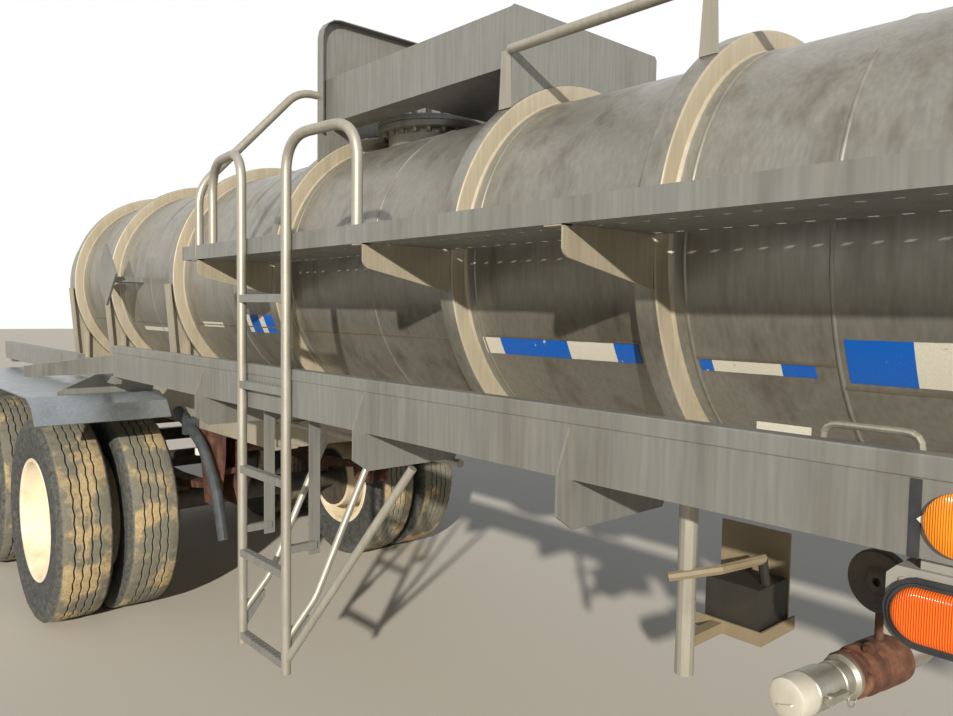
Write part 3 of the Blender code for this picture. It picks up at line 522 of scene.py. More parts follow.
# a strip on the shell's right side between two places along X and two angles below the horizontal
def shellPatch(x0, x1, upper, lower, ragged=0.0, thick=0.0009, lift=0.0002):
    xs = np.linspace(x0, x1, max(3, int((x1 - x0) / 0.012) + 1))
    rows, columns = len(xs), 9
    turns = np.radians(np.linspace(upper, lower, columns))
    x, a = np.meshgrid(xs, turns, indexing="ij")
    wear = np.sin(x * 91.0) + np.sin(x * 57.0 + 1.3) + np.sin(x * 203.0 + 0.4)
    across = np.linspace(-1, 1, columns)[None, :]
    a = a + np.abs(across) ** 8 * wear * ragged * np.sign(across) * -0.5
    layers = []
    for level in (lift, lift + thick):
        r = shellRadius + level
        layers.append(np.stack([x, -r * np.cos(a), tankHeight - r * np.sin(a)], -1).reshape(-1, 3))
    flat = np.array(gridFaces(rows, columns, False, False))
    count = rows * columns
    index = np.arange(count).reshape(rows, columns)
    rim = np.concatenate([index[:, 0], index[-1, 1:], index[-2::-1, -1], index[0, -2:0:-1]])
    after = np.roll(rim, -1)
    walls = np.stack([rim, after, after + count, rim + count], 1)
    return np.concatenate(layers), flat.tolist() + (flat + count).tolist() + walls.tolist()


tapes = {"blue": ((-1.410, -1.135, 23.5, 29.0), (-0.970, -0.890, 23.5, 29.0), (-0.715, -0.680, 26.5, 29.5),
                  (-0.506, -0.428, 26.5, 29.5), (-0.357, -0.223, 20.0, 30.0), (-3.100, -3.010, 18.5, 27.0),
                  (-2.960, -2.870, 18.5, 27.0)),
         "white": ((-1.490, -1.410, 23.5, 29.0), (-1.135, -0.970, 23.5, 29.0), (-0.680, -0.506, 26.5, 29.5),
                   (-0.223, 0.240, 20.0, 30.0), (-3.140, -3.100, 18.5, 27.0), (-3.010, -2.960, 18.5, 27.0),
                   (-2.870, -2.810, 18.5, 27.0), (-4.610, -4.210, 28.0, 30.5), (-3.670, -3.430, 23.0, 25.5)),
         "ragged": 0.0006}
welds = ((-5.54, -4.93, 24.0), (-4.79, -3.90, 25.0), (-3.75, -2.79, 24.0), (-2.63, -1.62, 24.5),
         (-1.47, -0.86, 22.7), (-0.72, -0.38, 25.8), (-0.37, 0.23, 31.2), (0.38, 0.94, 24.0),
         (0.96, 1.34, 27.0), (1.50, 2.44, 23.5), (2.60, 3.24, 25.0), (3.40, 4.34, 24.0), (4.50, 5.44, 25.0))


def makeTapes():
    for colour, material in (("blue", blueTape), ("white", whiteTape)):
        strips = [shellPatch(*strip, ragged=tapes["ragged"]) for strip in tapes[colour]]
        makeObject(colour + "Stripes", *joined(strips), material)
    seams = [shellPatch(x0, x1, angle, angle + 0.55, 0.0008, 0.0018) for x0, x1, angle in welds]
    makeObject("courseWelds", *joined(seams), weldSteel)


makeTank()
makeTapes()
print("tank made")


# Walkway: slotted deck on brackets, edges turned up
# cells of a grid pushed between two levels; keep says which cells are solid, and walls close every edge
def cellPlate(xs, ys, keep, low, high):
    xs, ys = np.asarray(xs, float), np.asarray(ys, float)
    x, y = np.meshgrid(xs, ys, indexing="ij")
    rows, columns = len(xs), len(ys)
    count = rows * columns
    verts = np.concatenate([np.stack([x, y, np.full_like(x, z)], -1).reshape(-1, 3) for z in (low, high)])
    index = np.arange(count).reshape(rows, columns)
    a, b, c, d = index[:-1, :-1], index[1:, :-1], index[1:, 1:], index[:-1, 1:]
    bottom = np.stack([a, d, c, b], -1)[keep]
    top = np.stack([a, b, c, d], -1)[keep] + count
    padded = np.pad(keep, 1)
    walls = []
    for shift, first, second in (((-1, 0), d, a), ((1, 0), b, c), ((0, -1), a, b), ((0, 1), c, d)):
        beside = padded[1 + shift[0]:1 + shift[0] + keep.shape[0], 1 + shift[1]:1 + shift[1] + keep.shape[1]]
        bare = keep & ~beside
        walls.append(np.stack([first[bare], second[bare], second[bare] + count, first[bare] + count], -1))
    faces = np.concatenate([bottom, top] + walls)
    used, flat = np.unique(faces, return_inverse=True)
    return verts[used], flat.reshape(faces.shape).tolist()


walkLow, walkHigh = spanOf("walkway")
deck = {"lip": 0.004, "depth": 0.054, "slotRows": (-0.880, -0.674), "pitch": 0.060, "slotLong": 0.020,
        "slotWide": 0.014, "sheet": 0.0012, "start": -2.790, "shellGap": 0.001}
deckLow = walkHigh[2] - deck["depth"]


def makeWalkway():
    starts = np.arange(deck["start"], walkHigh[0] - 0.04, deck["pitch"])
    ends = [walkLow[0], walkHigh[0]]
    xs = np.unique(np.round(np.concatenate([ends, starts, starts + deck["slotLong"]]), 5))
    half = deck["slotWide"] / 2
    y0, y1, lip = walkLow[1], walkHigh[1] - deck["shellGap"], deck["lip"]
    ys = sorted([y0 + lip / 2, y1 - lip / 2] + [y + s * half for y in deck["slotRows"] for s in (-1, 1)])
    middleX, middleY = (xs[1:] + xs[:-1]) / 2, (np.array(ys)[1:] + np.array(ys)[:-1]) / 2
    inSlotX = np.isin(np.round(xs[:-1], 5), np.round(starts, 5))
    inSlotY = np.min(np.abs(middleY[:, None] - np.array(deck["slotRows"])[None]), 1) < half
    keep = ~(inSlotX[:, None] & inSlotY[None])
    plate = cellPlate(xs, ys, keep, deckLow + 0.0005, deckLow + 0.0005 + deck["sheet"])
    lips = [prism([(y0, deckLow), (y0 + lip, deckLow), (y0 + lip, walkHigh[2]), (y0, walkHigh[2])], "x",
                  walkLow[0], walkHigh[0]),
            prism([(y1 - lip, deckLow), (y1, deckLow), (y1, walkHigh[2]), (y1 - lip, walkHigh[2])], "x",
                  walkLow[0], walkHigh[0]),
            prism([(y0, deckLow), (y1, deckLow), (y1, walkHigh[2]), (y0, walkHigh[2])], "x",
                  walkLow[0], walkLow[0] + lip)]
    made = makeObject("walkwayDeck", *joined([plate] + lips), plateSteel, smooth=20)
    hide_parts("walkway")
    brackets = []
    for low, high in ringEdges:
        if low < walkLow[0] or high > walkHigh[0]:
            continue
        outline = [(y0 + 0.002, deckLow + 0.001), (y0 + 0.002, deckLow - 0.050),
                   (y0 + 0.006, deckLow - 0.060), (y0 + 0.018, deckLow - 0.070),
                   (y1, deckLow - 0.130), (y1, deckLow + 0.001)]
        brackets.append(prism(outline, "x", high - 0.008, high - 0.002))
        brackets.append(block(high - 0.060, high - 0.002, y0 + 0.002, y0 + 0.028, deckLow - 0.0035, deckLow))
    # the brackets take the lighter steel too, painted sunlight on their flat sides
    makeObject("walkwayBrackets", *joined(brackets), paintedLitSteel, smooth=30)


makeWalkway()
print("walkway made")


# Ladder, hoops and rails of pipe
ladderLow, ladderHigh = spanOf("ladder")
ladderPoints = pointsOf("ladder")
feet = ladderPoints[ladderPoints[:, 2] < ladderLow[2] + 0.001]
rearX = feet[feet[:, 0] < feet[:, 0].mean(), 0].mean()
foreX = feet[feet[:, 0] > feet[:, 0].mean(), 0].mean()
ladderY = feet[:, 1].mean()
ladder = {"pipe": 0.0165, "bend": 0.120, "rearReach": 0.327, "foreReach": 0.352, "rungs": 5, "pitch": 0.300,
          "firstRung": 0.046, "rungDeep": 0.026, "rungHalf": 0.014, "wall": 0.003, "brace": 0.0125,
          "stay": 0.0135, "braceY": (-0.880, -0.760, -0.640), "studPitch": 0.025, "studSize": 0.0055}
trayLow = spanOf("hose_tray_right")[0]
gussetLow = trayLow[2]


def makeLadder():
    pipe, foot, top = ladder["pipe"], ladderLow[2], ladderHigh[2] - ladder["pipe"]
    outerY = walkLow[1] + 0.018
    outY, midY, inY = ladder["braceY"]
    pipes, plates = [], []
    for x, end in ((rearX, rearX - ladder["rearReach"]), (foreX, foreX + ladder["foreReach"])):
        path = rounded([(x, ladderY, foot), (x, ladderY, top), (end, outerY, top),
                        (end, outerY, deckLow + deck["lip"])], ladder["bend"], 12)
        pipes.append(tube(path, pipe, 24))
        path = rounded([(x, ladderY, foot + 0.110), (x, outY, foot + 0.230), (x, midY, gussetLow - 0.260),
                        (x, inY, gussetLow - 0.015)], 0.03)
        pipes.append(tube(path, ladder["brace"], 16))
        plates.append(block(x - 0.003, x + 0.003, -0.905, -0.865, foot + 0.380, gussetLow + 0.108))
        plates.append(block(x - 0.010, x + 0.010, ladderY, outY, foot + 0.400, foot + 0.425))
        plates.append(prism([(ladderY + 0.010, foot + 0.055), (ladderY + 0.085, foot + 0.150),
                             (ladderY + 0.085, foot + 0.175), (ladderY + 0.010, foot + 0.150)], "x",
                            x - 0.004, x + 0.004))
    strutZ = gussetLow - 0.0129
    pipes.append(tube([(ladderLow[0], inY, strutZ), (-1.470, inY, strutZ)], ladder["brace"], 16))
    stayTop = (-1.503, -0.800, gussetLow - 0.012)
    pipes.append(tube([(foreX, ladderY, foot + 0.040), stayTop], ladder["stay"], 20))
    made = makeObject("ladderPipes", *joined(pipes), galvanised)
    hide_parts("ladder")
    half, deep, wall = ladder["rungHalf"], ladder["rungDeep"], ladder["wall"]
    channel = [(-half, -deep), (-half, 0), (half, 0), (half, -deep), (half - wall, -deep),
               (half - wall, -wall), (-half + wall, -wall), (-half + wall, -deep)]
    studs = []
    for k in range(ladder["rungs"]):
        z = foot + ladder["firstRung"] + ladder["pitch"] * k
        outline = [(ladderY + y, z + h - 0.002) for y, h in channel]
        plates.append(prism(outline, "x", rearX + 0.004, foreX - 0.004))
        xs = np.arange(rearX + 0.035, foreX - 0.02, ladder["studPitch"])
        studs += [(x, ladderY + y, z - 0.002) for x in xs for y in (-half / 2, half / 2)]
    plates.append(bolts(studs, "z", ladder["studSize"], 0.0009))
    makeObject("ladderRungs", *joined(plates), plateSteel, smooth=30)


def makeRails():
    low, high = spanOf("crown_rail")
    pipe = ladder["pipe"]
    z = high[2] - pipe
    railPoints = pointsOf("crown_rail")
    y = railPoints[railPoints[:, 0] > high[0] - 0.001, 1].mean()
    bar = tube([(low[0], y, z), (high[0] - 0.004, y, z), (high[0], y, z)], [pipe, pipe, pipe * 0.8], 24)
    posts = []
    for ring in ringEdges:
        face = ring[1]
        if low[0] < face < high[0] + 0.1:
            posts.append(prism([(face - 0.056, low[2]), (face - 0.001, low[2]), (face - 0.010, z),
                                (face - 0.046, z)], "y", y - 0.003, y + 0.003))
    made = makeObject("crownRailPipe", *joined([bar] + posts), galvanised)
    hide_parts("crown_rail")
    low, high = spanOf("side_rail")
    y, z, x = low[1] + pipe, high[2] - pipe, (low[0] + high[0]) / 2
    bent = rounded([(x, y, deckLow + deck["lip"]), (x, y, walkHigh[2] + 0.225), (x, -0.520, z),
                    (x, high[1], z)], 0.070, 12)
    made = makeObject("sideRailPipe", *tube(bent, pipe, 24), galvanised)
    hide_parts("side_rail")


makeLadder()
makeRails()
print("ladder and rails made")


# Tyres: ribbed tread with zigzag grooves under caked mud
tyre = {"steps": 168, "ribs": 5, "groove": 0.007, "grooveDeep": 0.011, "zigzag": 0.003, "waves": 42,
        "mudThick": 0.005, "lugs": 56}


def tyreSection(half, radius):
    rim = radius - 0.224
    side = [(half - 0.030, rim - 0.004), (half - 0.022, rim + 0.010), (half - 0.026, rim + 0.022),
            (half - 0.012, rim + 0.055), (half - 0.002, rim + 0.092), (half, rim + 0.110),
            (half - 0.001, rim + 0.135), (half - 0.0045, rim + 0.165), (half - 0.006, rim + 0.180),
            (half - 0.010, rim + 0.200), (half - 0.020, radius - 0.010), (half - 0.030, radius - 0.005)]
    tread = []
    spread = 2 * (half - 0.040) / tyre["ribs"]
    for k in range(1, tyre["ribs"]):
        y = half - 0.040 - spread * k
        w, d = tyre["groove"] / 2, tyre["grooveDeep"]
        tread += [(y + w + 0.002, radius - 0.003), (y + w, radius - 0.005), (y + w * 0.7, radius - d - 0.002),
                  (y - w * 0.7, radius - d - 0.002), (y - w, radius - 0.005), (y - w - 0.002, radius - 0.003)]
    right = [(-y, r) for y, r in side[::-1]]
    inner = [(-half + 0.050, rim - 0.004), (half - 0.050, rim - 0.004)]
    return np.array(side + tread + right + inner)


# every tread point slides across by a triangle wave and rises by a mud layer made of sine waves
def makeTyre(name, body, seed):
    low, high = spanOf(name)
    half, radius = (high[1] - low[1]) / 2, (high[2] - low[2]) / 2
    centre = (low + high) / 2
    section = tyreSection(half, radius)
    verts, faces = lathe(section, "y", (0, 0, 0), tyre["steps"], True)
    across, reach = verts[:, 1].copy(), np.hypot(verts[:, 0], verts[:, 2])
    turn = np.arctan2(verts[:, 0], verts[:, 2])
    draw = np.random.default_rng(seed)
    wave = np.abs(((turn * tyre["waves"] / np.pi) % 2) - 1) * 2 - 1
    onTread = np.clip((half - 0.032 - np.abs(across)) / 0.008, 0, 1) * (reach > radius - 0.03)
    verts[:, 1] += onTread * wave * tyre["zigzag"]
    mud = np.zeros(len(verts))
    for k in range(14):
        turns = draw.integers(2, 60)
        mud += np.sin(turn * turns + across * draw.uniform(-90, 90) + draw.uniform(0, 6.28)) / 3.5
    mud = np.clip(mud * 0.5 + 0.2, 0, 1) * tyre["mudThick"]
    lug = 0.5 + 0.5 * np.sign(np.sin(turn * tyre["lugs"]))
    shoulder = (np.abs(across) > half - 0.024) & (reach > radius - 0.035)
    grow = np.where(reach > radius - 0.04, mud - 0.002, 0) - np.where(shoulder, lug * 0.004, 0)
    newReach = np.minimum(reach + grow, radius)
    verts[:, 0] *= newReach / reach
    verts[:, 2] *= newReach / reach
    verts[:, 1] = np.clip(verts[:, 1], -half, half)
    made = makeObject(name + "Tread", verts + centre, faces, tyreRubber, body, 32)
    mudAndGrooveShade = np.where(reach > radius - 0.008, 1.0, np.where(reach > radius - 0.05, 0.3, 0.15))
    # the grooves hold neither mud nor film, so they stay dark rubber: painted shade in the grooves
    inGroove = (np.abs(across) < half - 0.032) & (reach < radius - 0.008) & (reach > radius - 0.03)
    mudAndGrooveShade = np.where(inGroove, 0.0, mudAndGrooveShade)
    made.data.attributes.new("dust", "FLOAT", "POINT").data.foreach_set("value", mudAndGrooveShade)
    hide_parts(name)


# Wheels: dished steel discs with nuts, hand holes drawn as rims round dark discs of painted shade, and a hub
wheel = {"nuts": 10, "nutCircle": 0.143, "nutSize": 0.017, "holes": 10, "holeCircle": 0.205,
         "holeSize": 0.024, "rimToNutFace": 0.286, "twinPitch": 0.330, "caps": 8, "capCircle": 0.089}


def makeWheel(name, body):
    low, high = spanOf(name)
    centre = (low + high) / 2
    sign = 1.0 if centre[1] > 0 else -1.0
    rim = (high[2] - low[2]) / 2
    rimEnd = high[1] if sign > 0 else -low[1]
    middle = rimEnd - wheel["rimToNutFace"]
    back = -wheel["twinPitch"]
    section = [(back - 0.005, 0.04), (back - 0.005, 0.205), (-0.040, 0.205), (-0.030, 0.250),
               (-0.050, rim - 0.045), (back + 0.050, rim - 0.028), (back + 0.044, rim - 0.026),
               (back + 0.043, rim - 0.004), (back + 0.047, rim), (back + 0.052, rim - 0.008),
               (-0.052, rim - 0.008), (-0.047, rim), (-0.043, rim - 0.004), (-0.040, rim - 0.020),
               (-0.010, 0.255), (0.010, 0.255), (0.040, rim - 0.020), (0.043, rim - 0.004), (0.047, rim),
               (0.052, rim - 0.008), (-back - 0.052, rim - 0.008), (-back - 0.047, rim),
               (-back - 0.043, rim - 0.004), (-back - 0.044, rim - 0.020), (-back - 0.060, rim - 0.030),
               (0.085, rim - 0.040), (0.062, rim - 0.048), (0.052, rim - 0.062), (0.030, 0.236),
               (0.022, 0.215), (0.018, 0.180), (0.016, 0.118), (0.020, 0.108), (0.095, 0.100), (0.118, 0.096),
               (0.124, 0.088), (0.126, 0.079), (0.165, 0.074), (0.180, 0.068), (0.188, 0.054), (0.188, 0.03)]
    pieces = [lathe(section, "y", (0, 0, 0), 96)]
    turn = np.linspace(0, 2 * np.pi, wheel["nuts"], endpoint=False)
    places = [(wheel["nutCircle"] * np.cos(t), 0.034, wheel["nutCircle"] * np.sin(t)) for t in turn]
    pieces.append(bolts(places, "y", wheel["nutSize"], 0.020))
    stud = [(0.014, 0.010), (0.072, 0.010), (0.076, 0.007)]
    pieces += [lathe(stud, "y", (x, 0, z), 12) for x, y, z in places]
    caps = np.linspace(0, 2 * np.pi, wheel["caps"], endpoint=False) + 0.2
    circle = wheel["capCircle"]
    pieces.append(bolts([(circle * np.cos(t), 0.128, circle * np.sin(t)) for t in caps], "y", 0.008, 0.006))
    shift = np.array([centre[0], middle * sign, centre[2]])
    verts, faces = onSide(joined(pieces), sign)
    made = makeObject(name + "Disc", verts + shift, faces, wheelPaint, body, 35)
    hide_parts(name)
    rings, holeShadeDiscs = [], []
    turn = np.linspace(0, 2 * np.pi, wheel["holes"], endpoint=False) + np.pi / 10
    size = wheel["holeSize"]
    edge = [(0.012, size + 0.005), (0.0235, size + 0.005), (0.0250, size + 0.003), (0.0250, size),
            (0.0200, size - 0.001), (0.012, size - 0.001)]
    for t in turn:
        x, z = wheel["holeCircle"] * np.cos(t), wheel["holeCircle"] * np.sin(t)
        # a dark disc fills each hand hole: painted shade for the dark seen through the hole
        holeShadeDiscs.append(lathe([(0.010, size), (0.0225, size)], "y", (x, 0, z), 24))
        rings.append(lathe(edge, "y", (x, 0, z), 24, True))
    for kind, found, material in (("HoleEdges", rings, wheelPaint), ("HandHoles", holeShadeDiscs, framePaint)):
        verts, faces = onSide(joined(found), sign)
        makeObject(name + kind, verts + shift, faces, material, body, 35)


bodyOf = {name: item["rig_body"] for name, item in nodes.items()}
seeds = {name: k for k, name in enumerate(sorted(nodes))}
for name in sorted(nodes):
    if name.startswith("tyre_"):
        makeTyre(name, bodyOf[name], seeds[name])
    if name.startswith("wheel_"):
        makeWheel(name, bodyOf[name])
print("wheels made")


# Trays, fenders, frames, dam: the CAD forms with rounded edges, and their small fittings
# material, width of the rounded edge and the nodes that take them
edges = ((plateSteel, 0.0015, "spill_dam hose_tray_left hose_tray_right"),
         (legSteel, 0.0015, "rear_frame front_frame"), (framePaint, 0.002, "landing_legs"),
         (framePaint, 0.0015, "leg_crank king_pin"), (fenderSteel, 0.0, "fender_left fender_right"),
         (plateSteel, 0.001, "fender_arms_left fender_arms_right"),
         (rust, 0.001, "springs_left springs_right hanger_fore hanger_middle hanger_rear"),
         (framePaint, 0.0, "rear_axle fore_axle"), (framePaint, 0.003, "rear_bumper"),
         (shelfPaint, 0.003, "tail_lamp_bar"), (flapRubber, 0.0015, "mud_flap_left mud_flap_right"),
         (plateSteel, 0.001, "placard_left placard_right"), (galvanised, 0.0, "tray_handle"),
         (shelfPaint, 0.001, "utility_shelf"), (hoseRubber, 0.0, "drain_hose"))
fine = {name: smoothCopy(name, look, bevel=bevel) for look, bevel, names in edges for name in names.split()}
print("plates and fittings made")


shelfLow = spanOf("utility_shelf")[0]
hoseLow, hoseHigh = spanOf("drain_hose")
shelf = {"postX": -0.560, "postHalf": 0.0205, "postY": -0.768, "leverZ": 1.14, "leverHalf": 0.03,
         "caseX": (-0.601, -0.469), "caseY": (-0.651, -0.529), "caseRise": 0.066}


def onPost(x, y, z):
    beside = np.abs(x - shelf["postX"]) < shelf["postHalf"]
    return (y < shelf["postY"]) & beside & (np.abs(z - shelf["leverZ"]) > shelf["leverHalf"])


def onCase(x, y, z):
    (x0, x1), (y0, y1) = shelf["caseX"], shelf["caseY"]
    return (x > x0) & (x < x1) & (y > y0) & (y < y1) & (z > shelfLow[2] + shelf["caseRise"])


recolour(fine["utility_shelf"], galvanised, onPost)
# the box's faces above caseRise take near-black paint: painted shade where the box lies in shadow
recolour(fine["utility_shelf"], casePaint, onCase)


def capsule(middleX, middleZ, straight, radius, steps=16):
    turn = np.linspace(0, 2 * np.pi, 2 * steps, endpoint=False)
    shift = np.where(np.cos(turn) > 0, straight, -straight)
    return np.stack([middleX + shift + radius * np.cos(turn), middleZ + radius * np.sin(turn)], 1)


lamp = {"middle": -0.003, "drop": 0.084, "straight": 0.048, "radius": 0.042, "grommet": 0.012, "ridge": 0.005,
        "layers": 6, "bulge": 0.0145, "boxHalf": 0.104, "boxDeep": 0.082, "boxCut": 0.014, "neckHigh": 0.020}
tray = {"face": 0.970, "low": 1.329, "railLow": 0.117, "railHigh": 0.153, "railX": (-3.728, 1.898),
        "railDeep": 0.034, "strapX": (-0.073, -0.057), "discX": -0.005, "discRise": 0.058, "baseHigh": 0.050,
        "baseWide": 0.057}


def makeLamps():
    middle, straight, radius = lamp["middle"], lamp["straight"], lamp["radius"]
    half, cut, count = lamp["boxHalf"], lamp["boxCut"], lamp["layers"]
    for side, sign in (("left", 1), ("right", -1)):
        low, high = spanOf("lamp_box_" + side)
        plateY = max(abs(low[1]), abs(high[1])) - 0.023
        z = high[2] - lamp["drop"]
        outline = capsule(middle, z, straight, radius + lamp["grommet"])
        base = prism(outline, "y", plateY - 0.001, plateY + 0.007)
        outline = capsule(middle, z, straight, radius + lamp["ridge"])
        ridge = prism(outline, "y", plateY + 0.006, plateY + 0.011)
        layers = []
        for k in range(count):  # each layer is smaller and further out, as a shallow dome
            ring = capsule(middle, z, straight, radius * (0.55 + 0.45 * np.cos(np.radians(15 * k))))
            out = plateY + 0.008 + lamp["bulge"] * np.sin(np.radians(18 * k))
            layers.append(np.stack([ring[:, 0], np.full(len(ring), out), ring[:, 1]], 1))
        around = len(layers[0])
        faces = gridFaces(count, around)
        faces += [list(range(around)), list(range((count - 1) * around, count * around))]
        screw = [(plateY - 0.001, 0.006), (plateY + 0.002, 0.005), (plateY + 0.003, 0.002)]
        spots = [(middle - 0.078, z + 0.044), (middle + 0.092, z - 0.040)]
        screws = [lathe(screw, "y", (x, 0, at), 16) for x, at in spots]
        for kind, piece, material in (("Grommet", joined([base, ridge]), strapRubber),
                                      ("Lens", (np.concatenate(layers), faces), amberLens),
                                      ("Screws", joined(screws), couplerAlloy)):
            makeObject("sideLamp" + kind + side.capitalize(), *onSide(piece, sign), material)
        top = high[2] - lamp["neckHigh"]
        outline = [(-half, low[2] + 0.002), (0.002 - half, low[2]), (half - 0.002, low[2]),
                   (half, low[2] + 0.002), (half, top), (cut - half, top), (-half, top - cut)]
        body = joined([prism(outline, "y", plateY - lamp["boxDeep"], plateY),
                       block(-0.060, 0.060, plateY - 0.070, plateY - 0.010, top - 0.010, high[2])])
        made = makeObject("sideLampBox" + side.capitalize(), *onSide(body, sign), lampPaint, smooth=20)
        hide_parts("lamp_box_" + side)


def makeTrayFittings():
    face, low = tray["face"], tray["low"]
    railLow, railHigh = low + tray["railLow"], low + tray["railHigh"]
    x, rise, wide, tall = tray["discX"], low + tray["discRise"], tray["baseWide"], tray["baseHigh"]
    for side, sign in (("Left", 1), ("Right", -1)):
        bar = block(*tray["railX"], face - tray["railDeep"], face + 0.0025, railLow, railHigh + 0.0008)
        made = makeObject("trayRail" + side, *onSide(bar, sign), plateSteel)
        edge = made.modifiers.new("edge", "BEVEL")
        edge.width = 0.003
        edge.segments = 2
        strap = block(*tray["strapX"], face - 0.001, face + 0.0018, low - 0.001, railLow - 0.001)
        base = prism([(x - wide, rise), (x, rise + tall), (x + wide, rise), (x, rise - tall)],
                     "y", face - 0.001, face + 0.004)
        dome = [(face + 0.003, 0.047), (face + 0.009, 0.0465), (face + 0.012, 0.043), (face + 0.013, 0.02)]
        disc = lathe(dome, "y", (x, 0, rise), 48)
        for kind, piece, material in (("trayStrap", strap, strapRubber), ("reflectorBase", base, whiteTape),
                                      ("reflectorDisc", disc, amberDisc)):
            makeObject(kind + side, *onSide(piece, sign), material)
    label = block(-0.431, -0.321, -0.7610, -0.7600, 1.438, 1.470)
    makeObject("trayLabel", *label, whiteTape)
    band = lathe([(-0.018, 0.0295), (-0.016, 0.031), (0.016, 0.031), (0.018, 0.0295)], "z",
                 (hoseLow[0] * 0.48 + hoseHigh[0] * 0.52, -0.575, 0.93), 32)
    makeObject("hoseBand", *band, whiteTape)


discharge = {"outlet": (-0.424, 0.200), "height": 0.750, "swing": 9.2, "valveFront": -0.170, "flange": 0.061,
             "gearRise": 0.225, "gearRadius": 0.0815, "teeth": 26, "flangeBolts": 6, "pipe": 0.047,
             "elbowBend": 0.060, "couplerLong": 0.180, "seat": 0.0004, "lever": 0.0022}


# a piece on the discharge line swings with it about the outlet
def onLine(piece):
    verts = np.array(piece[0], float)
    turn = np.radians(-discharge["swing"])
    x, y = verts[:, 0] - discharge["outlet"][0], verts[:, 1] - discharge["outlet"][1]
    verts[:, 0] = discharge["outlet"][0] + x * np.cos(turn) - y * np.sin(turn)
    verts[:, 1] = discharge["outlet"][1] + x * np.sin(turn) + y * np.cos(turn)
    return verts, piece[1]


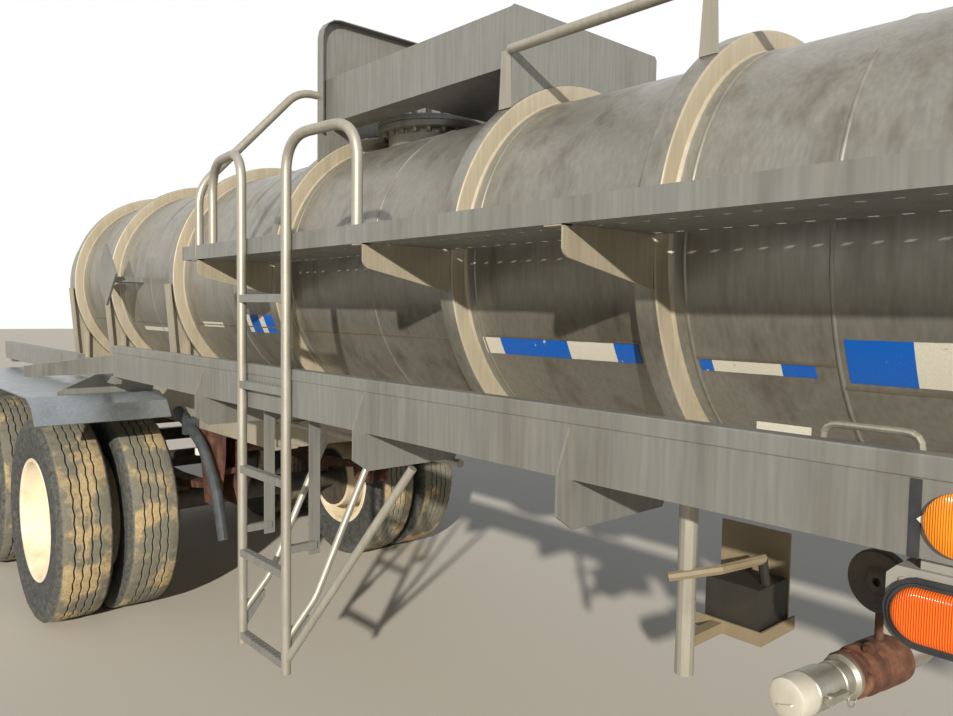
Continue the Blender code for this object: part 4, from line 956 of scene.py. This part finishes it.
def makeDischarge():
    x, z = discharge["outlet"][0], discharge["height"]
    front, flange = discharge["valveFront"], discharge["flange"]
    barrel = lathe([(0.050, 0.045), (0.050, flange - 0.004), (0.046, flange + 0.004),
                    (0.030, flange + 0.0055), (-0.055, flange + 0.0055), (-0.062, flange + 0.002),
                    (-0.066, flange - 0.008),
                    (-0.080, flange - 0.008), (-0.084, flange + 0.004), (-0.112, flange + 0.0045),
                    (-0.118, flange - 0.008), (-0.132, flange - 0.009), (-0.136, flange - 0.001),
                    (-0.148, flange), (-0.152, flange - 0.006), (-0.158, flange - 0.006), (-0.162, flange),
                    (front, flange), (front, 0.045)], "y", (x, 0, z), 72)
    lugs = []
    for angle in (70, 250):
        t = np.radians(angle)
        cx, cz = x + (flange + 0.012) * np.cos(t), z + (flange + 0.012) * np.sin(t)
        boss = [(-0.113, 0.013), (-0.111, 0.016), (-0.084, 0.016), (-0.082, 0.013)]
        lugs.append(lathe(boss, "y", (cx, 0, cz), 20))
        lugs.append(bolts([(cx, -0.118, cz)], "y", 0.009, 0.006))
    circle = flange - 0.006
    for k in range(discharge["flangeBolts"]):
        t = np.radians(60 * k + 20)
        lugs.append(bolts([(x + circle * np.cos(t), -0.155, z + circle * np.sin(t))], "y", 0.008, 0.010))
    gearZ = z + discharge["gearRise"]
    stem = lathe([(z + 0.040, 0.012), (z + 0.150, 0.012), (z + 0.152, 0.020), (z + 0.170, 0.020),
                  (z + 0.172, 0.012), (gearZ, 0.012)], "z", (x, -0.020, 0), 28)
    wheelRim = lathe([(-0.020, 0.078), (-0.014, 0.085), (-0.040, 0.085), (-0.045, 0.080), (-0.042, 0.070),
                      (-0.034, 0.040), (-0.045, 0.026), (-0.045, 0.012), (-0.012, 0.012), (-0.012, 0.026),
                      (-0.024, 0.040)], "y", (x, 0, gearZ), 48, True)
    reach = discharge["gearRadius"]
    teeth = np.linspace(0, 2 * np.pi, discharge["teeth"], endpoint=False)
    tooth = [(-0.038, 0.005), (-0.018, 0.005)]
    cogs = [lathe(tooth, "y", (x + reach * np.cos(t), 0, gearZ + reach * np.sin(t)), 8) for t in teeth]
    body = [onLine(piece) for piece in [barrel, stem] + lugs]
    made = makeObject("valveBarrel", *joined(body), valveRust, smooth=35)
    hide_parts("discharge_valve")
    makeObject("valveGear", *joined([onLine(wheelRim)] + [onLine(cog) for cog in cogs]), framePaint)
    start = front - discharge["seat"]
    end = start - discharge["couplerLong"]
    coupler = lathe([(start, 0.040), (start, flange - 0.005), (start - 0.016, flange - 0.004),
                     (start - 0.021, 0.050), (start - 0.024, 0.0465), (start - 0.050, 0.0465),
                     (start - 0.053, 0.049), (start - 0.062, 0.049), (start - 0.065, 0.0465),
                     (start - 0.098, 0.0465), (start - 0.102, 0.0525), (end + 0.004, 0.053), (end, 0.050),
                     (end, 0.040)], "y", (x, 0, z), 72)
    arms = []
    for sign in (-1, 1):
        arms.append(block(x + sign * 0.060 - 0.006, x + sign * 0.060 + 0.006, start - 0.170, start - 0.085,
                          z - 0.009, z + 0.009))
        pivot = (x + sign * 0.056, start - 0.152, 0)
        arms.append(lathe([(z - 0.013, 0.010), (z + 0.013, 0.010)], "z", pivot, 20))
        turn = np.linspace(0, 2 * np.pi, 25)[:-1]
        ring = np.stack([np.full(24, x + sign * 0.068), start - 0.075 + 0.017 * np.cos(turn),
                         z - 0.016 + 0.017 * np.sin(turn)], 1)
        arms.append(tube(np.concatenate([ring, ring[:1]]), discharge["lever"], 8))
    verts, faces = joined([onLine(piece) for piece in [coupler] + arms])
    made = makeObject("couplerAdapter", verts, faces, couplerAlloy, smooth=35)
    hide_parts("hose_coupler")
    start = end - 2 * discharge["seat"]
    cap = lathe([(start, 0.040), (start, 0.0525), (start - 0.004, 0.0535), (start - 0.054, 0.0525),
                 (start - 0.060, 0.050), (start - 0.063, 0.044), (start - 0.064, 0.020)], "y", (x, 0, z), 72)
    path = rounded([(x - 0.020, start - 0.062, z - 0.020), (x - 0.020, start - 0.0685, z - 0.020),
                    (x + 0.020, start - 0.0685, z - 0.006), (x + 0.020, start - 0.062, z - 0.006)], 0.004)
    lever = tube(path, discharge["lever"], 10)
    made = makeObject("capDisc", *joined([onLine(cap), onLine(lever)]), capAlloy, smooth=35)
    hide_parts("dust_cap")
    y, top = discharge["outlet"][1], spanOf("discharge_pipe")[1][2]
    path = rounded([(x, y, top), (x, y, z), (x, 0.0504, z)], discharge["elbowBend"], 14)
    made = makeObject("elbowPipe", *onLine(tube(path, discharge["pipe"], 48)), pipeSteel)
    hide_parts("discharge_pipe")


tail = {"rise": 0.085, "stops": (0.820, 0.960), "turns": (1.100,),
        "dome": ((-6.2905, 0.047), (-6.2965, 0.046), (-6.2990, 0.040), (-6.2998, 0.012))}


def makeTailLamps():
    z = spanOf("tail_lamp_bar")[0][2] + tail["rise"]
    for name, ys, material in (("stopLenses", tail["stops"], redLens),
                               ("turnLenses", tail["turns"], amberLens)):
        found = [lathe(tail["dome"], "x", (0, sign * y, z), 40) for y in ys for sign in (-1, 1)]
        makeObject(name, *joined(found), material)


makeLamps()
makeTrayFittings()
makeDischarge()
makeTailLamps()
print("fittings made")


# Floor, light and camera
studio = {"sunStrength": 4.4, "sunAngle": 1.2, "sunHeight": 18.5, "sunTurn": 44.0, "skyStrength": 0.36}
view = {"place": (0.35, -2.205, 1.68), "turn": 48.253, "tilt": 3.4456, "roll": -0.8434, "focalPixels": 784.04,
        "wide": 953, "sensor": 36.0}


def makeStage():
    verts = [(-60, -60, -0.002), (60, -60, -0.002), (60, 60, -0.002), (-60, 60, -0.002)]
    mesh = bpy.data.meshes.new("floor")
    mesh.from_pydata(verts, [], [(0, 1, 2, 3)])
    floor = bpy.data.objects.new("floor", mesh)
    bpy.context.scene.collection.objects.link(floor)
    made, _, shader, _ = newMaterial("paleFloor")
    shader.inputs["Base Color"].default_value = linear("#d6d1c6")
    shader.inputs["Roughness"].default_value = 0.9
    mesh.materials.append(made)
    sun = bpy.data.lights.new("lowSun", "SUN")
    sun.energy = studio["sunStrength"]
    sun.angle = np.radians(studio["sunAngle"])
    sun.color = (1.0, 0.93, 0.83)
    lamp = bpy.data.objects.new("lowSun", sun)
    turn, height = np.radians(studio["sunTurn"]), np.radians(studio["sunHeight"])
    ray = Vector((-np.sin(turn) * np.cos(height), np.cos(turn) * np.cos(height), -np.sin(height)))
    lamp.rotation_euler = ray.to_track_quat("-Z", "Y").to_euler()
    bpy.context.scene.collection.objects.link(lamp)
    world = bpy.context.scene.world or bpy.data.worlds.new("studio")
    bpy.context.scene.world = world
    world.use_nodes = True
    tree = world.node_tree
    for old in list(tree.nodes):
        tree.nodes.remove(old)
    rays = addNode(tree, "ShaderNodeLightPath")
    seenRay = mathOf(tree, "MAXIMUM", rays.outputs["Is Camera Ray"], rays.outputs["Is Transmission Ray"])
    seenRay = mathOf(tree, "MAXIMUM", seenRay, rays.outputs["Is Glossy Ray"])
    # the sky that lights is blue-white above and warm grey below
    way = addNode(tree, "ShaderNodeTexCoord").outputs["Generated"]
    way = addNode(tree, "ShaderNodeSeparateXYZ", {"Vector": way}).outputs["Z"]
    sky = rampOf(tree, way, ((0.0, "#8a7d68"), (0.42, "#a89c88"), (0.55, "#dfe0df"), (1.0, "#b4c8e4")))
    lit = addNode(tree, "ShaderNodeBackground", {"Color": sky}, Strength=studio["skyStrength"])
    seen = addNode(tree, "ShaderNodeBackground", Strength=1.0)
    seen.inputs["Color"].default_value = (1, 1, 1, 1)
    both = addNode(tree, "ShaderNodeMixShader", {0: seenRay, 1: lit.outputs["Background"],
                                                2: seen.outputs["Background"]})
    addNode(tree, "ShaderNodeOutputWorld", {"Surface": both.outputs["Shader"]})


def makeCamera():  # pose and focal length fitted to the photograph's rings and straight edges
    turn, tilt, roll = np.radians([view["turn"], view["tilt"], view["roll"]])
    ahead = np.array([-np.sin(turn) * np.cos(tilt), np.cos(turn) * np.cos(tilt), -np.sin(tilt)])
    right = np.cross(ahead, [0, 0, 1])
    right /= np.linalg.norm(right)
    down = np.cross(ahead, right)
    right, down = (np.cos(roll) * right + np.sin(roll) * down, -np.sin(roll) * right + np.cos(roll) * down)
    lens = bpy.data.cameras.new("camera")
    lens.sensor_width = view["sensor"]
    lens.lens = view["focalPixels"] / view["wide"] * view["sensor"]
    lens.clip_start = 0.05
    lens.clip_end = 300.0
    camera = bpy.data.objects.new("camera", lens)
    bpy.context.scene.collection.objects.link(camera)
    rows = np.stack([right, -down, -ahead, view["place"]], 1).tolist()
    camera.matrix_world = Matrix(rows + [[0, 0, 0, 1]])
    bpy.context.scene.camera = camera


makeStage()
makeCamera()
bpy.context.scene.view_settings.view_transform = "Standard"
print("stage and camera set")
